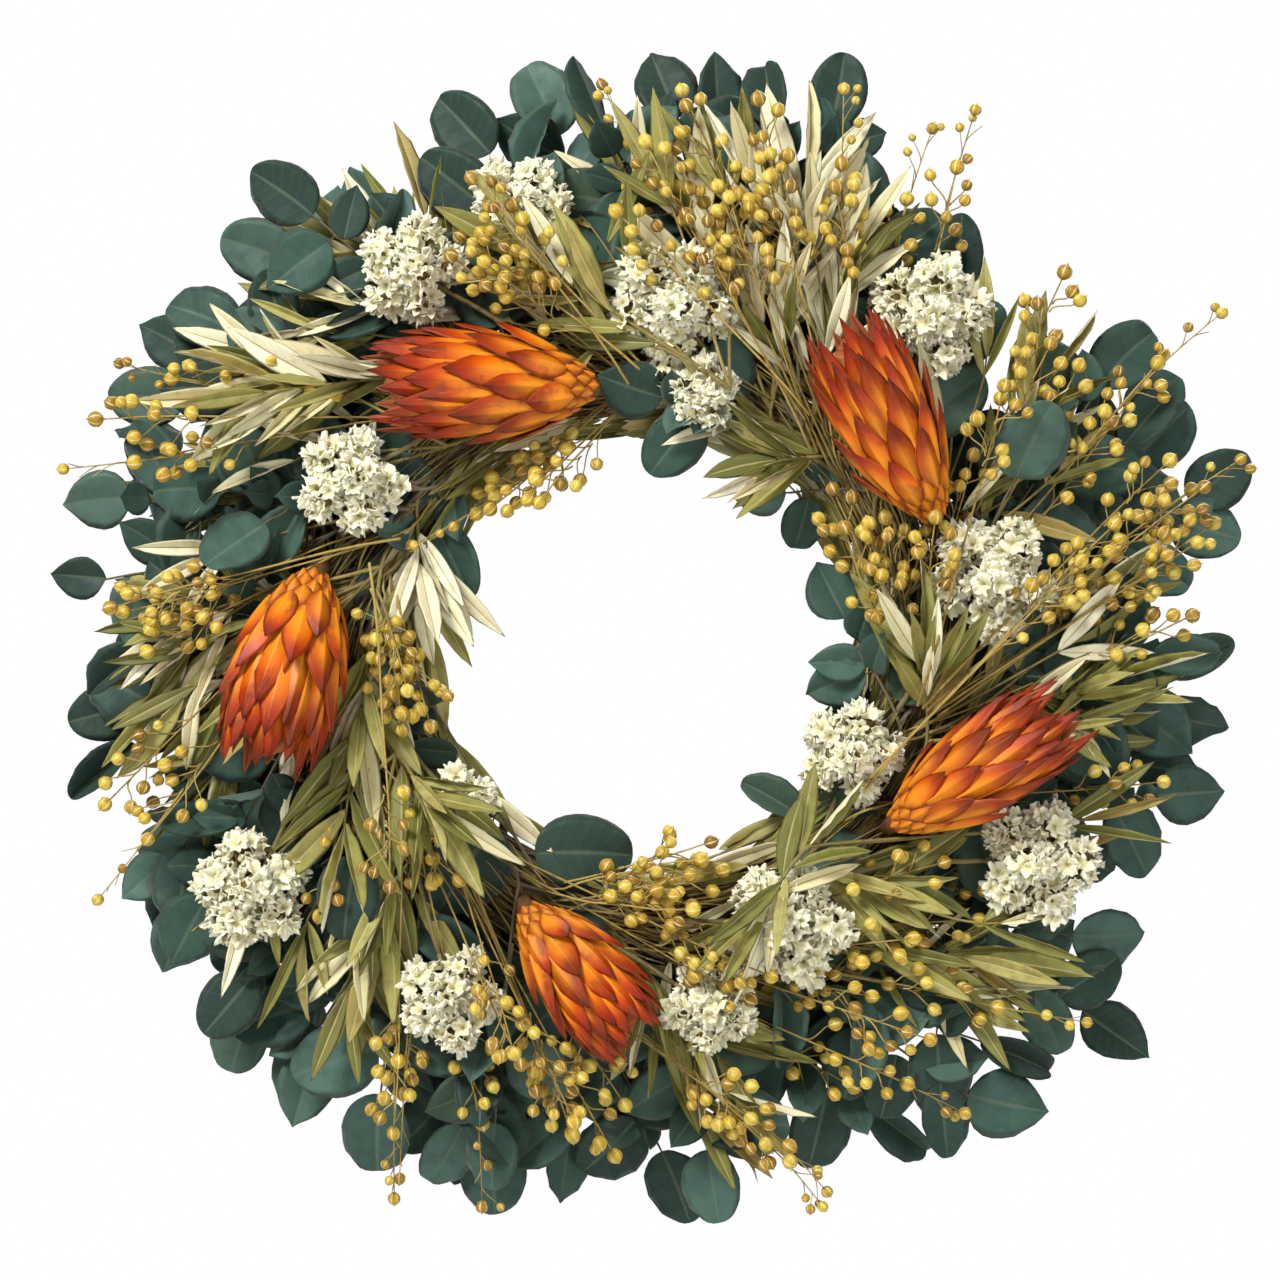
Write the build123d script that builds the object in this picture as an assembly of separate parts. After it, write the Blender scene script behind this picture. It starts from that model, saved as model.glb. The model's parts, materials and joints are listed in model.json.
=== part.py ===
"""Dried-flower door wreath: a vine ring, bound sprigs and bunches, five protea heads and a wire hanger.

The wreath is worked out lying face up: u to the right, v towards its top and h up from its back.
hang() then stands it up. In the row frame X is right, Z is up and the front faces -Y.
The origin is where the nail bears, inside the top of the hanging loop.
A bearing is an angle round the ring, anticlockwise from the right as the front is seen.
"""
from build123d import *
import math
import os
import random

import numpy as np

# ---- driving dimensions, mm ----
RING_R = 126.0            # centreline of the vine ring, a 12 inch base
VINE_R = 4.6              # one vine
HOOP_COUNT_ROUND = 5      # hoops round the core hoop
HOOP_SPREAD = 10.8        # core hoop's centre to the centre of each hoop round it
BUNDLE_R = HOOP_SPREAD + VINE_R
BINDER_R = 2.2            # thin vine that ties the hoops together
BINDER_TILT = 25.0
BINDER_COUNT = 9
BINDER_FIRST = 30.0       # bearing of the first tie, so that the hanger at the top stands between two
GAP = 0.4                 # room left between neighbouring pieces
WIRE_R = 0.45             # binding wire
WIRE_TURNS = 3            # turns of wire at each binding point
BINDER_LOOP_R = (BUNDLE_R + GAP + BINDER_R) / math.cos(math.radians(BINDER_TILT))
RING_OUTER = BINDER_LOOP_R + BINDER_R
RING_H = RING_OUTER + 0.3  # height of the ring's centreline above the door
LEAF_T = 0.8              # a dried leaf, with its curl left out
STEM_R = 1.2
STALK_R = 0.55            # flax stalk
POD_R = 3.7               # flax seed pod
HANGER_R = 1.1            # wire of the hanging loop
HANGER_HALF = 13.0        # half its width at the hinge bar
HANGER_RISE = 36.0        # hinge bar to the inside of its top
HANGER_TOP_R = 5.0        # round top that sits over the nail
TIE_R = 0.6               # wire ties that hold the hinge bar
TIE_OFFSET = 6.0
PROTEA_RISE = 6           # degrees that the protea heads point up from the door
PROTEA_STEM = 14.0        # how far back along its heading a protea's stem meets the ring
PROTEA_STEM_R = 3.5
DOOR_GAP = 6.0            # a leaf or pod stays this far off the door
HINGE_LEAN = 45.0         # the bar lies this far up from straight behind the ring
CLEAR = 0.8               # least room asked for between two laid pieces
BED_BACK = 27.0           # height above the door that each kind's middle aims for, over the ring
BED_EUCALYPTUS = 48.0
BED_OLIVE = 54.0
BED_FLAX = 72.0
BED_STATICE = 66.0
BED_PROTEA = 56.0         # underside of the protea heads
FLANK = 22.0              # how far out of the ring's top the back layer starts
HOLE_R = 77.0             # nothing laid comes nearer to the wreath's middle
REACH = 288.0             # nothing laid comes further out
DEPTH = 114.0             # nothing laid stands higher than this off the door
DROOP = 0.28              # how much lower a sprig aims for each mm that it stands away from the ring

BAR_OUT = BUNDLE_R + 0.5 + HANGER_R
HINGE_H = RING_H - BAR_OUT * math.cos(math.radians(HINGE_LEAN))
HINGE_V = RING_R + BAR_OUT * math.sin(math.radians(HINGE_LEAN))
NAIL_V = HINGE_V + HANGER_RISE

# ---- planting plan ----
# Each row is bearing, radius (mm) and turn, then what the kind needs. The bearing and radius say where
# the middle of the leaves, pods or flowers lies. Turn says how far the tip points outward from the ring's
# anticlockwise tangent, in degrees.
# eucalyptus: leaves, leaf length, and a stem length only where the sprig doesn't start on the ring
EUCALYPTUS = {
    "eucalyptus_01": [(6, 236, 71, 6, 44), (26, 222, 61, 5, 46)],
    "eucalyptus_02": [(44, 228, 59, 6, 46), (38, 100, -78, 3, 30)],
    "eucalyptus_03": [(69, 238, 74, 5, 42), (79, 90, -21, 3, 40)],
    "eucalyptus_04": [(93, 228, 73, 4, 42), (106, 198, 56, 4, 50)],
    "eucalyptus_05": [(115, 232, 89, 5, 42), (137, 206, 58, 6, 44)],
    "eucalyptus_06": [(154, 230, 79, 6, 42), (164, 186, 64, 4, 44), (154, 100, -8, 3, 42)],
    "eucalyptus_07": [(172, 224, 61, 5, 42), (198, 232, 62, 5, 44)],
    "eucalyptus_08": [(217, 226, 80, 4, 42), (233, 212, 66, 6, 48)],
    "eucalyptus_09": [(259, 214, 69, 4, 40), (240, 138, 38, 3, 52)],
    "eucalyptus_10": [(277, 212, 88, 5, 42), (305, 212, 56, 6, 46)],
    "eucalyptus_11": [(336, 226, 74, 6, 42), (356, 208, 75, 5, 46), (353, 98, -50, 4, 36),
                      (318, 108, -20, 4, 36)],
}
# eucalyptus at the back, laid first and low, from the ring's outer flank
EUCALYPTUS_BACK = {
    "eucalyptus_01": [(16, 216, 60, 6, 46), (352, 214, 58, 6, 46)],
    "eucalyptus_03": [(66, 216, 60, 5, 44), (84, 214, 58, 6, 44)],
    "eucalyptus_04": [(103, 212, 62, 6, 46)],
    "eucalyptus_05": [(126, 216, 64, 6, 46)],
    "eucalyptus_06": [(147, 214, 60, 6, 46)],
    "eucalyptus_07": [(186, 212, 58, 6, 48)],
    "eucalyptus_08": [(206, 214, 60, 6, 44), (226, 216, 58, 6, 46)],
    "eucalyptus_09": [(248, 212, 60, 6, 46)],
    "eucalyptus_10": [(268, 210, 62, 6, 44), (291, 212, 58, 6, 46)],
    "eucalyptus_11": [(321, 214, 58, 6, 46)],
}
# olive: leaves, leaf length. The first group is laid before the statice, the second after it.
OLIVE_UNDER = {
    "olive_04": [(80, 112, -4, 5, 46), (84, 170, 34, 5, 62)],
    "olive_06": [(152, 204, 44, 7, 60), (166, 104, -22, 5, 46)],
}
OLIVE = {
    "olive_01": [(2, 132, 0, 5, 50), (356, 226, 70, 4, 60)],
    "olive_02": [(36, 226, 64, 5, 52), (52, 100, -60, 4, 44)],
    "olive_03": [(61, 220, 78, 4, 50), (82, 222, 67, 5, 62)],
    "olive_05": [(116, 226, 96, 4, 46), (129, 230, 60, 5, 60), (107, 190, 50, 6, 54)],
    "olive_07": [(184, 222, 68, 5, 48), (197, 216, 57, 5, 52), (196, 142, 20, 5, 46),
                 (176, 188, 46, 6, 58)],
    "olive_08": [(216, 124, 2, 4, 56), (232, 184, 56, 6, 54), (204, 190, 48, 6, 56)],
    "olive_09": [(283, 196, 58, 5, 56)],
    "olive_10": [(312, 120, -12, 5, 44), (319, 160, 50, 5, 50), (321, 220, 52, 4, 62)],
}
# flax: stalks, fan width in degrees
FLAX = {
    "flax_01": [(9, 222, 64, 6, 26), (20, 122, 8, 5, 20)],
    "flax_02": [(23, 206, 50, 5, 24), (34, 236, 59, 4, 18)],
    "flax_03": [(57, 240, 67, 5, 20), (69, 208, 62, 7, 22)],
    "flax_04": [(89, 208, 50, 7, 30), (111, 186, 58, 7, 26)],
    "flax_05": [(126, 122, 14, 6, 22), (136, 226, 68, 5, 22)],
    "flax_06": [(170, 206, 48, 6, 24), (182, 210, 60, 5, 22)],
    "flax_07": [(184, 126, 8, 6, 18), (199, 206, 49, 5, 20)],
    "flax_08": [(218, 154, 12, 6, 24), (248, 206, 54, 6, 20)],
    "flax_09": [(263, 202, 53, 6, 22), (277, 124, 10, 7, 18), (287, 204, 42, 4, 20)],
    "flax_10": [(301, 186, 38, 5, 18), (315, 184, 40, 7, 18), (350, 222, 64, 5, 28)],
}
# statice: diameters of the flower heads
STATICE = {
    "statice_01": [(11, 166, 46, 56)],
    "statice_02": [(51, 202, 62, 54)],
    "statice_03": [(88, 154, 40, 56), (78, 122, 10, 28)],
    "statice_04": [(100, 226, 70, 44)],
    "statice_05": [(124, 206, 60, 46)],
    "statice_06": [(153, 150, 20, 46)],
    "statice_07": [(212, 218, 60, 50)],
    "statice_08": [(222, 116, 4, 34)],
    "statice_09": [(245, 178, 40, 44)],
    "statice_10": [(275, 190, 52, 40)],
    "statice_11": [(298, 148, 30, 54)],
    "statice_12": [(334, 110, -6, 44)],
    "statice_13": [(335, 204, 56, 54)],
}
# protea: length and width of the head
PROTEA = {
    "protea_01": (124, 146, 34, 101, 58),
    "protea_02": (45, 155, 18, 98, 52),
    "protea_03": (186, 167, 21, 92, 60),
    "protea_04": (261, 160, 42, 80, 48),
    "protea_05": (342, 172, 38, 96, 48),
}
# single eucalyptus leaves that lie on top of everything, each on a short stalk: leaf length, stem length
TOP_LEAVES = {
    "eucalyptus_02": (28, 206, 50, 44, 26),
    "eucalyptus_05": (120, 176, 66, 38, 22),
    "eucalyptus_06": (166, 196, 40, 38, 24),
    "eucalyptus_08": (220, 180, 50, 42, 24),
    "eucalyptus_11": (332, 166, 60, 36, 22),
}


def unit(bearing):
    """Outward direction at a bearing, in the flat frame."""
    a = math.radians(bearing)
    return np.array([math.cos(a), math.sin(a), 0.0])


def frame_at(origin, heading, elevation, roll=0.0):
    """4 by 4 frame: its x runs along the heading, raised by the elevation, its z out of the wreath's face."""
    a, e, r = (math.radians(x) for x in (heading, elevation, roll))
    x = np.array([math.cos(a) * math.cos(e), math.sin(a) * math.cos(e), math.sin(e)])
    side = np.array([-math.sin(a), math.cos(a), 0.0])
    up = np.cross(x, side)
    y = side * math.cos(r) + up * math.sin(r)
    m = np.eye(4)
    m[:3, 0], m[:3, 1], m[:3, 2], m[:3, 3] = x, y, np.cross(x, y), origin
    return m


def shifted(p, q, w, turn=0.0):
    """4 by 4 frame inside another one: moved by p, q, w and turned about w."""
    a = math.radians(turn)
    m = np.eye(4)
    m[:2, :2] = [[math.cos(a), -math.sin(a)], [math.sin(a), math.cos(a)]]
    m[:3, 3] = (p, q, w)
    return m


def placed(shape, m):
    """shape, made in the frame m's own coordinates, moved to where m stands."""
    plane = Plane(origin=tuple(m[:3, 3]), x_dir=tuple(m[:3, 0]), z_dir=tuple(m[:3, 2]))
    return plane.location * shape


# ---- pieces: each knows its solid and the points that fill it ----
class Rod:
    """Round stick from one point to another."""

    def __init__(self, start, end, radius):
        self.start, self.end, self.radius = np.array(start, float), np.array(end, float), radius

    def solid(self):
        run = self.end - self.start
        plane = Plane(origin=tuple(self.start), z_dir=tuple(run))
        return Solid.make_cylinder(self.radius, float(np.linalg.norm(run)), plane)

    def points(self):
        steps = max(2, int(np.linalg.norm(self.end - self.start)))
        line = self.start + np.linspace(0, 1, steps)[:, None] * (self.end - self.start)
        return line, self.radius


class Ball:
    """Seed pod or flower lobe."""

    def __init__(self, centre, radius):
        self.centre, self.radius = np.array(centre, float), radius

    def solid(self):
        return Solid.make_sphere(self.radius, Plane(origin=tuple(self.centre)))

    def points(self):
        steps = np.arange(-self.radius, self.radius + 1, 2.0)
        grid = np.stack(np.meshgrid(steps, steps, steps), -1).reshape(-1, 3)
        inside = grid[np.linalg.norm(grid, axis=1) <= self.radius]
        return self.centre + inside, 1.2


class Leaf:
    """Flat blade along x from 0 to length, with a petiole that reaches back to the stem."""

    def __init__(self, length, width, pointed, petiole=None):
        self.length, self.width, self.pointed, self.petiole = length, width, pointed, petiole

    def half_width(self, x):
        t = np.clip(x / self.length, 0, 1)
        if self.pointed:
            return self.width * 2 * t * (1 - t) + 0.2
        return self.width / 2 * np.sqrt(np.clip(1 - (2 * t - 1) ** 2, 0, 1))

    def outline(self):
        half = self.length / 2
        if not self.pointed:
            return Wire([Edge.make_ellipse(half, self.width / 2, Plane(origin=(half, 0, -LEAF_T / 2)))])
        ends = (Vector(0, 0, -LEAF_T / 2), Vector(self.length, 0, -LEAF_T / 2))
        sides = [Vector(half, s * self.width / 2, -LEAF_T / 2) for s in (-1, 1)]
        return Wire([
            Edge.make_three_point_arc(ends[0], sides[0], ends[1]),
            Edge.make_three_point_arc(ends[1], sides[1], ends[0]),
        ])

    def solid(self):
        blade = Solid.extrude(Face(self.outline()), Vector(0, 0, LEAF_T))
        if self.petiole is None:
            return blade
        return blade.fuse(Rod(self.petiole, (2.5, 0, 0), 0.5).solid())

    def points(self):
        xs = np.linspace(0, self.length, int(self.length / 1.3))
        rows = []
        for x, w in zip(xs, self.half_width(xs)):
            rows += [(x, y, 0.0) for y in np.linspace(-w, w, 2 + int(2 * w / 1.3))]
        return np.array(rows), LEAF_T / 2


class Pile:
    """Space taken by what is laid already, as a grid of 1 mm cells."""

    LOW = np.array([-320.0, -320.0, -10.0])
    SIZE = (640, 640, 170)

    def __init__(self):
        self.full = np.zeros(self.SIZE, bool)

    def cells(self, points):
        found = np.floor(points - self.LOW).astype(int)
        return np.clip(found, 0, np.array(self.SIZE) - 1)

    def fence(self):
        """Keeps the hole open, and everything inside the wreath's reach and depth."""
        u = self.LOW[0] + 0.5 + np.arange(self.SIZE[0])
        v = self.LOW[1] + 0.5 + np.arange(self.SIZE[1])
        far = np.hypot(u[:, None], v[None, :])
        self.full[(far < HOLE_R) | (far > REACH)] = True
        self.full[:, :, int(DEPTH - self.LOW[2]):] = True

    def lay(self, points, radius):
        reach = int(radius + 2)
        steps = np.arange(-reach, reach + 1)
        ball = np.stack(np.meshgrid(steps, steps, steps), -1).reshape(-1, 3)
        ball = ball[np.linalg.norm(ball, axis=1) <= radius]
        for step in ball:
            at = np.clip(self.cells(points) + step, 0, np.array(self.SIZE) - 1)
            self.full[at[:, 0], at[:, 1], at[:, 2]] = True

    def clear(self, points):
        at = self.cells(points)
        return points[:, 2].min() > DOOR_GAP and not self.full[at[:, 0], at[:, 1], at[:, 2]].any()


PILE = Pile()
QUERY_R = 0.9   # half a cell's diagonal, for the point that asks
COARSE = 11     # one point in so many is asked about first
SWING = (0, 5, -5, 10, -10, 16, -16, 24, -24)   # degrees that a sprig may swing from its heading


def moved_points(points, m):
    return points @ m[:3, :3].T + m[:3, 3]


def cloud(members):
    """Points of every member of a sprig in the sprig's own frame, as (points, radius) pairs."""
    found = []
    for piece, local in members:
        points, radius = piece.points()
        found.append((moved_points(points, local), radius))
    return found


def mark(parts, m):
    """Takes the room that a sprig fills."""
    for points, radius in parts:
        PILE.lay(moved_points(points, m), radius + CLEAR + QUERY_R)


def lay_sprig(members, base, heading, run, aim, slopes, longest_lift=40):
    """Finds a place where a sprig is clear of all that is laid, and marks it as taken.

    The middle of the sprig, one run along it, aims for a height. The sprig turns about its base, and a
    base that is blocked is lifted, as a stem lies on those below it. Returns None where nothing is clear."""
    tries = []
    for lift in range(0, longest_lift, 2):
        for elevation in range(slopes[0], slopes[1], 2):
            off = abs(base[2] + lift + run * math.sin(math.radians(elevation)) - aim)
            tries += [(off + 0.3 * lift + 0.3 * abs(w) + 0.2 * max(w, 0), lift, elevation, w) for w in SWING]
    parts = cloud(members)
    every = np.concatenate([points for points, _ in parts])
    some = every[::COARSE]
    for _, lift, elevation, swing in sorted(tries):
        m = frame_at(base + np.array([0, 0, lift]), heading + swing, elevation)
        if PILE.clear(moved_points(some, m)) and PILE.clear(moved_points(every, m)):
            mark(parts, m)
            return m
    return None


def stem_run(bearing, radius, heading, longest=125.0):
    """Distance back along the heading from a head to the ring's centreline."""
    head = radius * unit(bearing)
    back = -unit(heading)
    along = -float(head @ back)
    square = RING_R ** 2 - float(head @ head) + along ** 2
    options = [along - math.sqrt(square), along + math.sqrt(square)] if square > 0 else [along]
    return min(min([x for x in options if x > 24.0], default=50.0), longest)


def ring_top(plan):
    """Height of the bound ring's upper face under a point."""
    across = min(abs(float(np.linalg.norm(plan[:2])) - RING_R), RING_OUTER)
    return RING_H + math.sqrt(RING_OUTER ** 2 - across ** 2)


def base_of(bearing, radius, heading, run):
    base = radius * unit(bearing) - run * unit(heading)
    base[2] = ring_top(base) + STEM_R + 1.5
    return base


def aim_at(radius, bed):
    """Height that a sprig's middle aims for: its bed height over the ring, less at the rim and the hole."""
    return bed - DROOP * max(radius - 185.0, 118.0 - radius, 0.0)


def leafy(run, leaves, length, width_share, pointed, angle, spacing):
    """Stem with leaves on alternate sides and one at its tip. Leaves on one side lie above and below in turn.

    The leaves' middle is one run from the stem's base."""
    ahead = 0.5 * length * math.cos(math.radians(angle))   # a leaf's middle is this far past its own node
    first = max(run - ahead - spacing * (leaves - 1) * 0.5, 5.0)
    tip = first + spacing * (leaves - 1)
    members = [(Rod((0, 0, 0), (tip, 0, 0), STEM_R), np.eye(4))]
    level = STEM_R + LEAF_T / 2 + GAP
    offset = 0.07 * length
    for i in range(leaves - 1):
        side = 1 if i % 2 else -1
        over = 1 if (i // 2) % 2 else -1
        grown = length * (1.0 - 0.06 * (i % 3))
        turn = side * angle
        back = shifted(0, 0, 0, -turn)
        reach = back[:3, :3] @ np.array([0, -side * (offset - STEM_R - 0.8), -over * 1.2])
        blade = Leaf(grown, grown * width_share, pointed, petiole=tuple(reach))
        members.append((blade, shifted(first + spacing * i, side * offset, over * level, turn)))
    members.append((Leaf(length * 0.9, length * 0.9 * width_share, pointed), shifted(tip + 1.0, 0, 0)))
    return members


def flax_stalk(run, rng):
    """Thin stalk with a pod at its tip and pods on short side branches."""
    tip = run + 14 + 16 * rng.random()
    pieces = [Rod((0, 0, 0), (tip, 0, 0), STALK_R), Ball((tip + POD_R * 0.7, 0, 0), POD_R)]
    for k in range(3):
        side, lean = (1 if k % 2 else -1), 0.5 - rng.random()
        start = tip - 12 - 11 * k
        end = (start + 8, side * (6.5 + 2 * rng.random()), 5 * lean)
        grown = POD_R * (0.86 + 0.14 * rng.random())
        pieces += [Rod((start, 0, 0), end, STALK_R * 0.8), Ball(end, grown)]
    return [(piece, np.eye(4)) for piece in pieces]


def statice_head(run, diameter):
    """Branching stem under a flat-topped head of six rounded clusters, which stand just clear of each other.

    A cluster is placed by its distance past the head's middle, aside and up, then where its branch leaves the
    stem and its radius, all as shares of the diameter."""
    clusters = (
        (0.33, 0.0, 0.0, 0.0, 0.18),
        (0.10, 0.314, -0.02, -0.12, 0.18), (0.10, -0.314, -0.02, -0.12, 0.18),
        (-0.267, 0.23, 0.03, -0.45, 0.165), (-0.267, -0.23, 0.03, -0.45, 0.165),
        (-0.02, 0.0, 0.24, -0.25, 0.17),
    )
    members = [(Rod((0, 0, 0), (run + 0.33 * diameter, 0, 0), STEM_R), np.eye(4))]
    for ahead, aside, up, fork, radius in clusters:
        centre = (run + ahead * diameter, aside * diameter, up * diameter)
        members.append((Ball(centre, radius * diameter), np.eye(4)))
        if aside or up:
            members.append((Rod((run + fork * diameter, 0, 0), centre, STEM_R * 0.8), np.eye(4)))
    return members


class ProteaHead:
    """Egg-shaped flower head on a short stem, with pointed bracts in tiers. It runs along x."""

    TIERS = ((0.08, 0.44, 7), (0.24, 0.54, 8), (0.42, 0.58, 9))   # start, length, bracts
    CORE_SHARE = 0.88     # the core's radius as a share of the head's

    def __init__(self, length, width):
        self.length, self.width = length, width

    def radius(self, t):
        """Radius of the head at a share t of its length."""
        return self.width / 2 * (0.28 + 0.72 * math.sin(math.pi * (0.12 + 0.80 * t)))

    def core(self):
        shares = (0.0, 0.2, 0.4, 0.6, 0.8, 0.95)
        side = [Vector(t * self.length, 0, self.CORE_SHARE * self.radius(t)) for t in shares]
        back, front = Vector(0, 0, 0), Vector(side[-1].X, 0, 0)
        edges = [Edge.make_line(back, side[0]), Edge.make_spline(side)]
        edges += [Edge.make_line(side[-1], front), Edge.make_line(front, back)]
        return Solid.revolve(Face(Wire(edges)), 360, Axis.X)

    def solid(self):
        bracts = []
        for tier, (start, share, count) in enumerate(self.TIERS):
            blade = Leaf(share * self.length, self.width * 0.42, True).solid()
            rise = self.radius(min(start + share, 1.0)) + 1.5 - self.radius(start)
            slope = math.degrees(math.atan2(rise, share * self.length))
            m = frame_at((start * self.length, 0, self.radius(start)), 0, slope)
            for k in range(count):
                about = math.radians(360 / count * (k + 0.5 * (tier % 2)))
                turn = np.eye(4)
                turn[1:3, 1:3] = [[math.cos(about), -math.sin(about)], [math.sin(about), math.cos(about)]]
                bracts.append(placed(blade, turn @ m))
        return self.core().fuse(*bracts)

    def points(self):
        found = []
        for t in np.arange(0, 1.02, 0.03):
            for r in np.arange(2, self.radius(t) + 0.09 * self.width, 2.6):
                for a in np.arange(0, 2 * math.pi, 2.5 / r):
                    found.append((t * self.length, r * math.cos(a), r * math.sin(a)))
        return np.array(found), 1.2


# ---- the ring, its bindings and the hanger ----
def ring_frame(bearing):
    """Frame on the ring's centreline: x outward, y up from the door, z along the ring."""
    m = np.eye(4)
    m[:3, 0], m[:3, 1] = unit(bearing), (0, 0, 1)
    m[:3, 2] = np.cross(m[:3, 0], m[:3, 1])
    m[:3, 3] = RING_R * unit(bearing) + np.array([0, 0, RING_H])
    return m


def hoops():
    """Core hoop and those round it, as (radius, height) of each centreline."""
    places = [(RING_R, RING_H)]
    for k in range(HOOP_COUNT_ROUND):
        a = math.radians(360 / HOOP_COUNT_ROUND * k + 90)
        places.append((RING_R + HOOP_SPREAD * math.cos(a), RING_H + HOOP_SPREAD * math.sin(a)))
    return [Solid.make_torus(r, VINE_R, Plane(origin=(0, 0, h))) for r, h in places]


def binder_loops():
    """Thin vine ties, each leaning the same way."""
    loops = []
    for k in range(BINDER_COUNT):
        m = ring_frame(360 / BINDER_COUNT * k + BINDER_FIRST)
        a = math.radians(BINDER_TILT)
        tilt = np.eye(4)
        tilt[1:3, 1:3] = [[math.cos(a), -math.sin(a)], [math.sin(a), math.cos(a)]]
        loops.append(placed(Solid.make_torus(BINDER_LOOP_R, BINDER_R), m @ tilt))
    return loops


def wire_loops():
    """Turns of binding wire, in groups halfway between the vine ties. The hanger is where one would be."""
    loops = []
    for k in range(BINDER_COUNT):
        middle = 360 / BINDER_COUNT * (k + 0.5) + BINDER_FIRST
        if abs(middle - 90) < 10:
            continue
        for turn in range(WIRE_TURNS):
            bearing = middle + 1.4 * (turn - (WIRE_TURNS - 1) / 2)
            loops.append(placed(Solid.make_torus(BUNDLE_R + GAP + WIRE_R + 0.2, WIRE_R), ring_frame(bearing)))
    return loops


def hanger_ties():
    """Two wire ties round the hoops at the top, which hold the hinge bar against them."""
    loops = []
    for side in (-1, 1):
        centre = (side * TIE_OFFSET, RING_R, RING_H)
        radius = BAR_OUT + HANGER_R + 0.35 + TIE_R
        loops.append(Solid.make_torus(radius, TIE_R, Plane(origin=centre, x_dir=(0, 1, 0), z_dir=(1, 0, 0))))
    return loops


def hanger_loop():
    """Bent wire: a straight hinge bar, two legs and a round top. It stands in the plane of the hinge."""
    top = HANGER_RISE + HANGER_R
    corners = [(0, 0), (HANGER_HALF, 0), (HANGER_HALF * 0.75, 12), (HANGER_TOP_R + HANGER_R, top - 9),
               (HANGER_TOP_R * 0.6, top), (-HANGER_TOP_R * 0.6, top),
               (-HANGER_TOP_R - HANGER_R, top - 9), (-HANGER_HALF * 0.75, 12), (-HANGER_HALF, 0), (-0.0, 0)]
    points = [Vector(u, HINGE_V + v, HINGE_H) for u, v in corners]
    path = FilletPolyline(*points[1:-1], radius=[3.0, 6.0, 4.0, 4.0, 6.0, 3.0])
    bar = Solid.make_cylinder(HANGER_R, 2 * HANGER_HALF, Plane(origin=tuple(points[-2]), z_dir=(1, 0, 0)))
    start = path @ 0
    profile = Plane(origin=start, z_dir=path % 0) * Circle(HANGER_R)
    frame = sweep(profile, path=path)
    ends = [Solid.make_sphere(HANGER_R, Plane(origin=tuple(p))) for p in (points[1], points[-2])]
    return frame.solids()[0].fuse(bar, *ends)


def mark_ring():
    """The bound ring, its wires and the hanger's swing take up room before any sprig is laid."""
    found = []
    for bearing in np.arange(0, 360, 0.6):
        m = ring_frame(bearing)
        for a in np.arange(0, 2 * math.pi, 0.12):
            for r in (RING_OUTER, RING_OUTER - 2, RING_OUTER - 5):
                found.append(m[:3, 3] + r * (math.cos(a) * m[:3, 0] + math.sin(a) * m[:3, 1]))
    PILE.lay(np.array(found), 1.0 + CLEAR)
    swing = []
    for a in np.arange(-120, 22, 2.0):
        up, back = math.cos(math.radians(a)), math.sin(math.radians(a))
        for rise in np.arange(0, HANGER_RISE + 6, 2.0):
            for u in np.arange(-HANGER_HALF - 2, HANGER_HALF + 3, 2.0):
                swing.append((u, HINGE_V + rise * up, HINGE_H + rise * back))
    PILE.lay(np.array(swing), 3.0)
    PILE.fence()


# ---- laying the sprigs ----
def solids_of(members, m, joined):
    """Solids of a sprig where it lies: one for each member, or all of them joined."""
    made = [placed(piece.solid(), m @ local) for piece, local in members]
    return [made[0].fuse(*made[1:])] if joined else made


def lay_leafy(rows, bed, width_share, pointed, angle, spacing_share, laid, flank=0.0):
    """Lays every sprig of a plan. Its stem starts this far down the ring's flank from the ring's top."""
    for name, sprigs in rows.items():
        for bearing, radius, turn, leaves, length in sprigs:
            heading = bearing + 90 - turn
            run = stem_run(bearing, radius, heading) - flank
            members = leafy(run, leaves, length, width_share, pointed, angle, spacing_share * length)
            base = base_of(bearing, radius, heading, run)
            m = lay_sprig(members, base, heading, run, aim_at(radius, bed), (-24, 24))
            if m is not None:
                laid.setdefault(name, []).extend(solids_of(members, m, joined=False))


def lay_flax(laid):
    rng = random.Random(11)
    for name, bunches in FLAX.items():
        for bearing, radius, turn, stalks, fan in bunches:
            middle = bearing + 90 - turn
            run = stem_run(bearing, radius, middle)
            for k in range(stalks):
                share = k / (stalks - 1) - 0.5
                base = base_of(bearing, radius, middle, run) + share * 2.4 * stalks * unit(middle + 90)
                base[2] = ring_top(base) + STALK_R + 1.5
                grown = run * (0.82 + 0.36 * rng.random())
                members = flax_stalk(grown, rng)
                aim = aim_at(radius, BED_FLAX) + 12 * (rng.random() - 0.5)
                m = lay_sprig(members, base, middle + fan * share, grown, aim, (-24, 28))
                if m is not None:
                    laid.setdefault(name, []).extend(solids_of(members, m, joined=True))


def lay_statice(laid):
    for name, heads in STATICE.items():
        for bearing, radius, turn, diameter in heads:
            heading = bearing + 90 - turn
            run = max(min(stem_run(bearing, radius, heading), 90.0), diameter * 0.75)
            members = statice_head(run, diameter)
            base = base_of(bearing, radius, heading, run)
            m = lay_sprig(members, base, heading, run, aim_at(radius, BED_STATICE), (-20, 24))
            if m is not None:
                laid.setdefault(name, []).extend(solids_of(members, m, joined=True))


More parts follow.
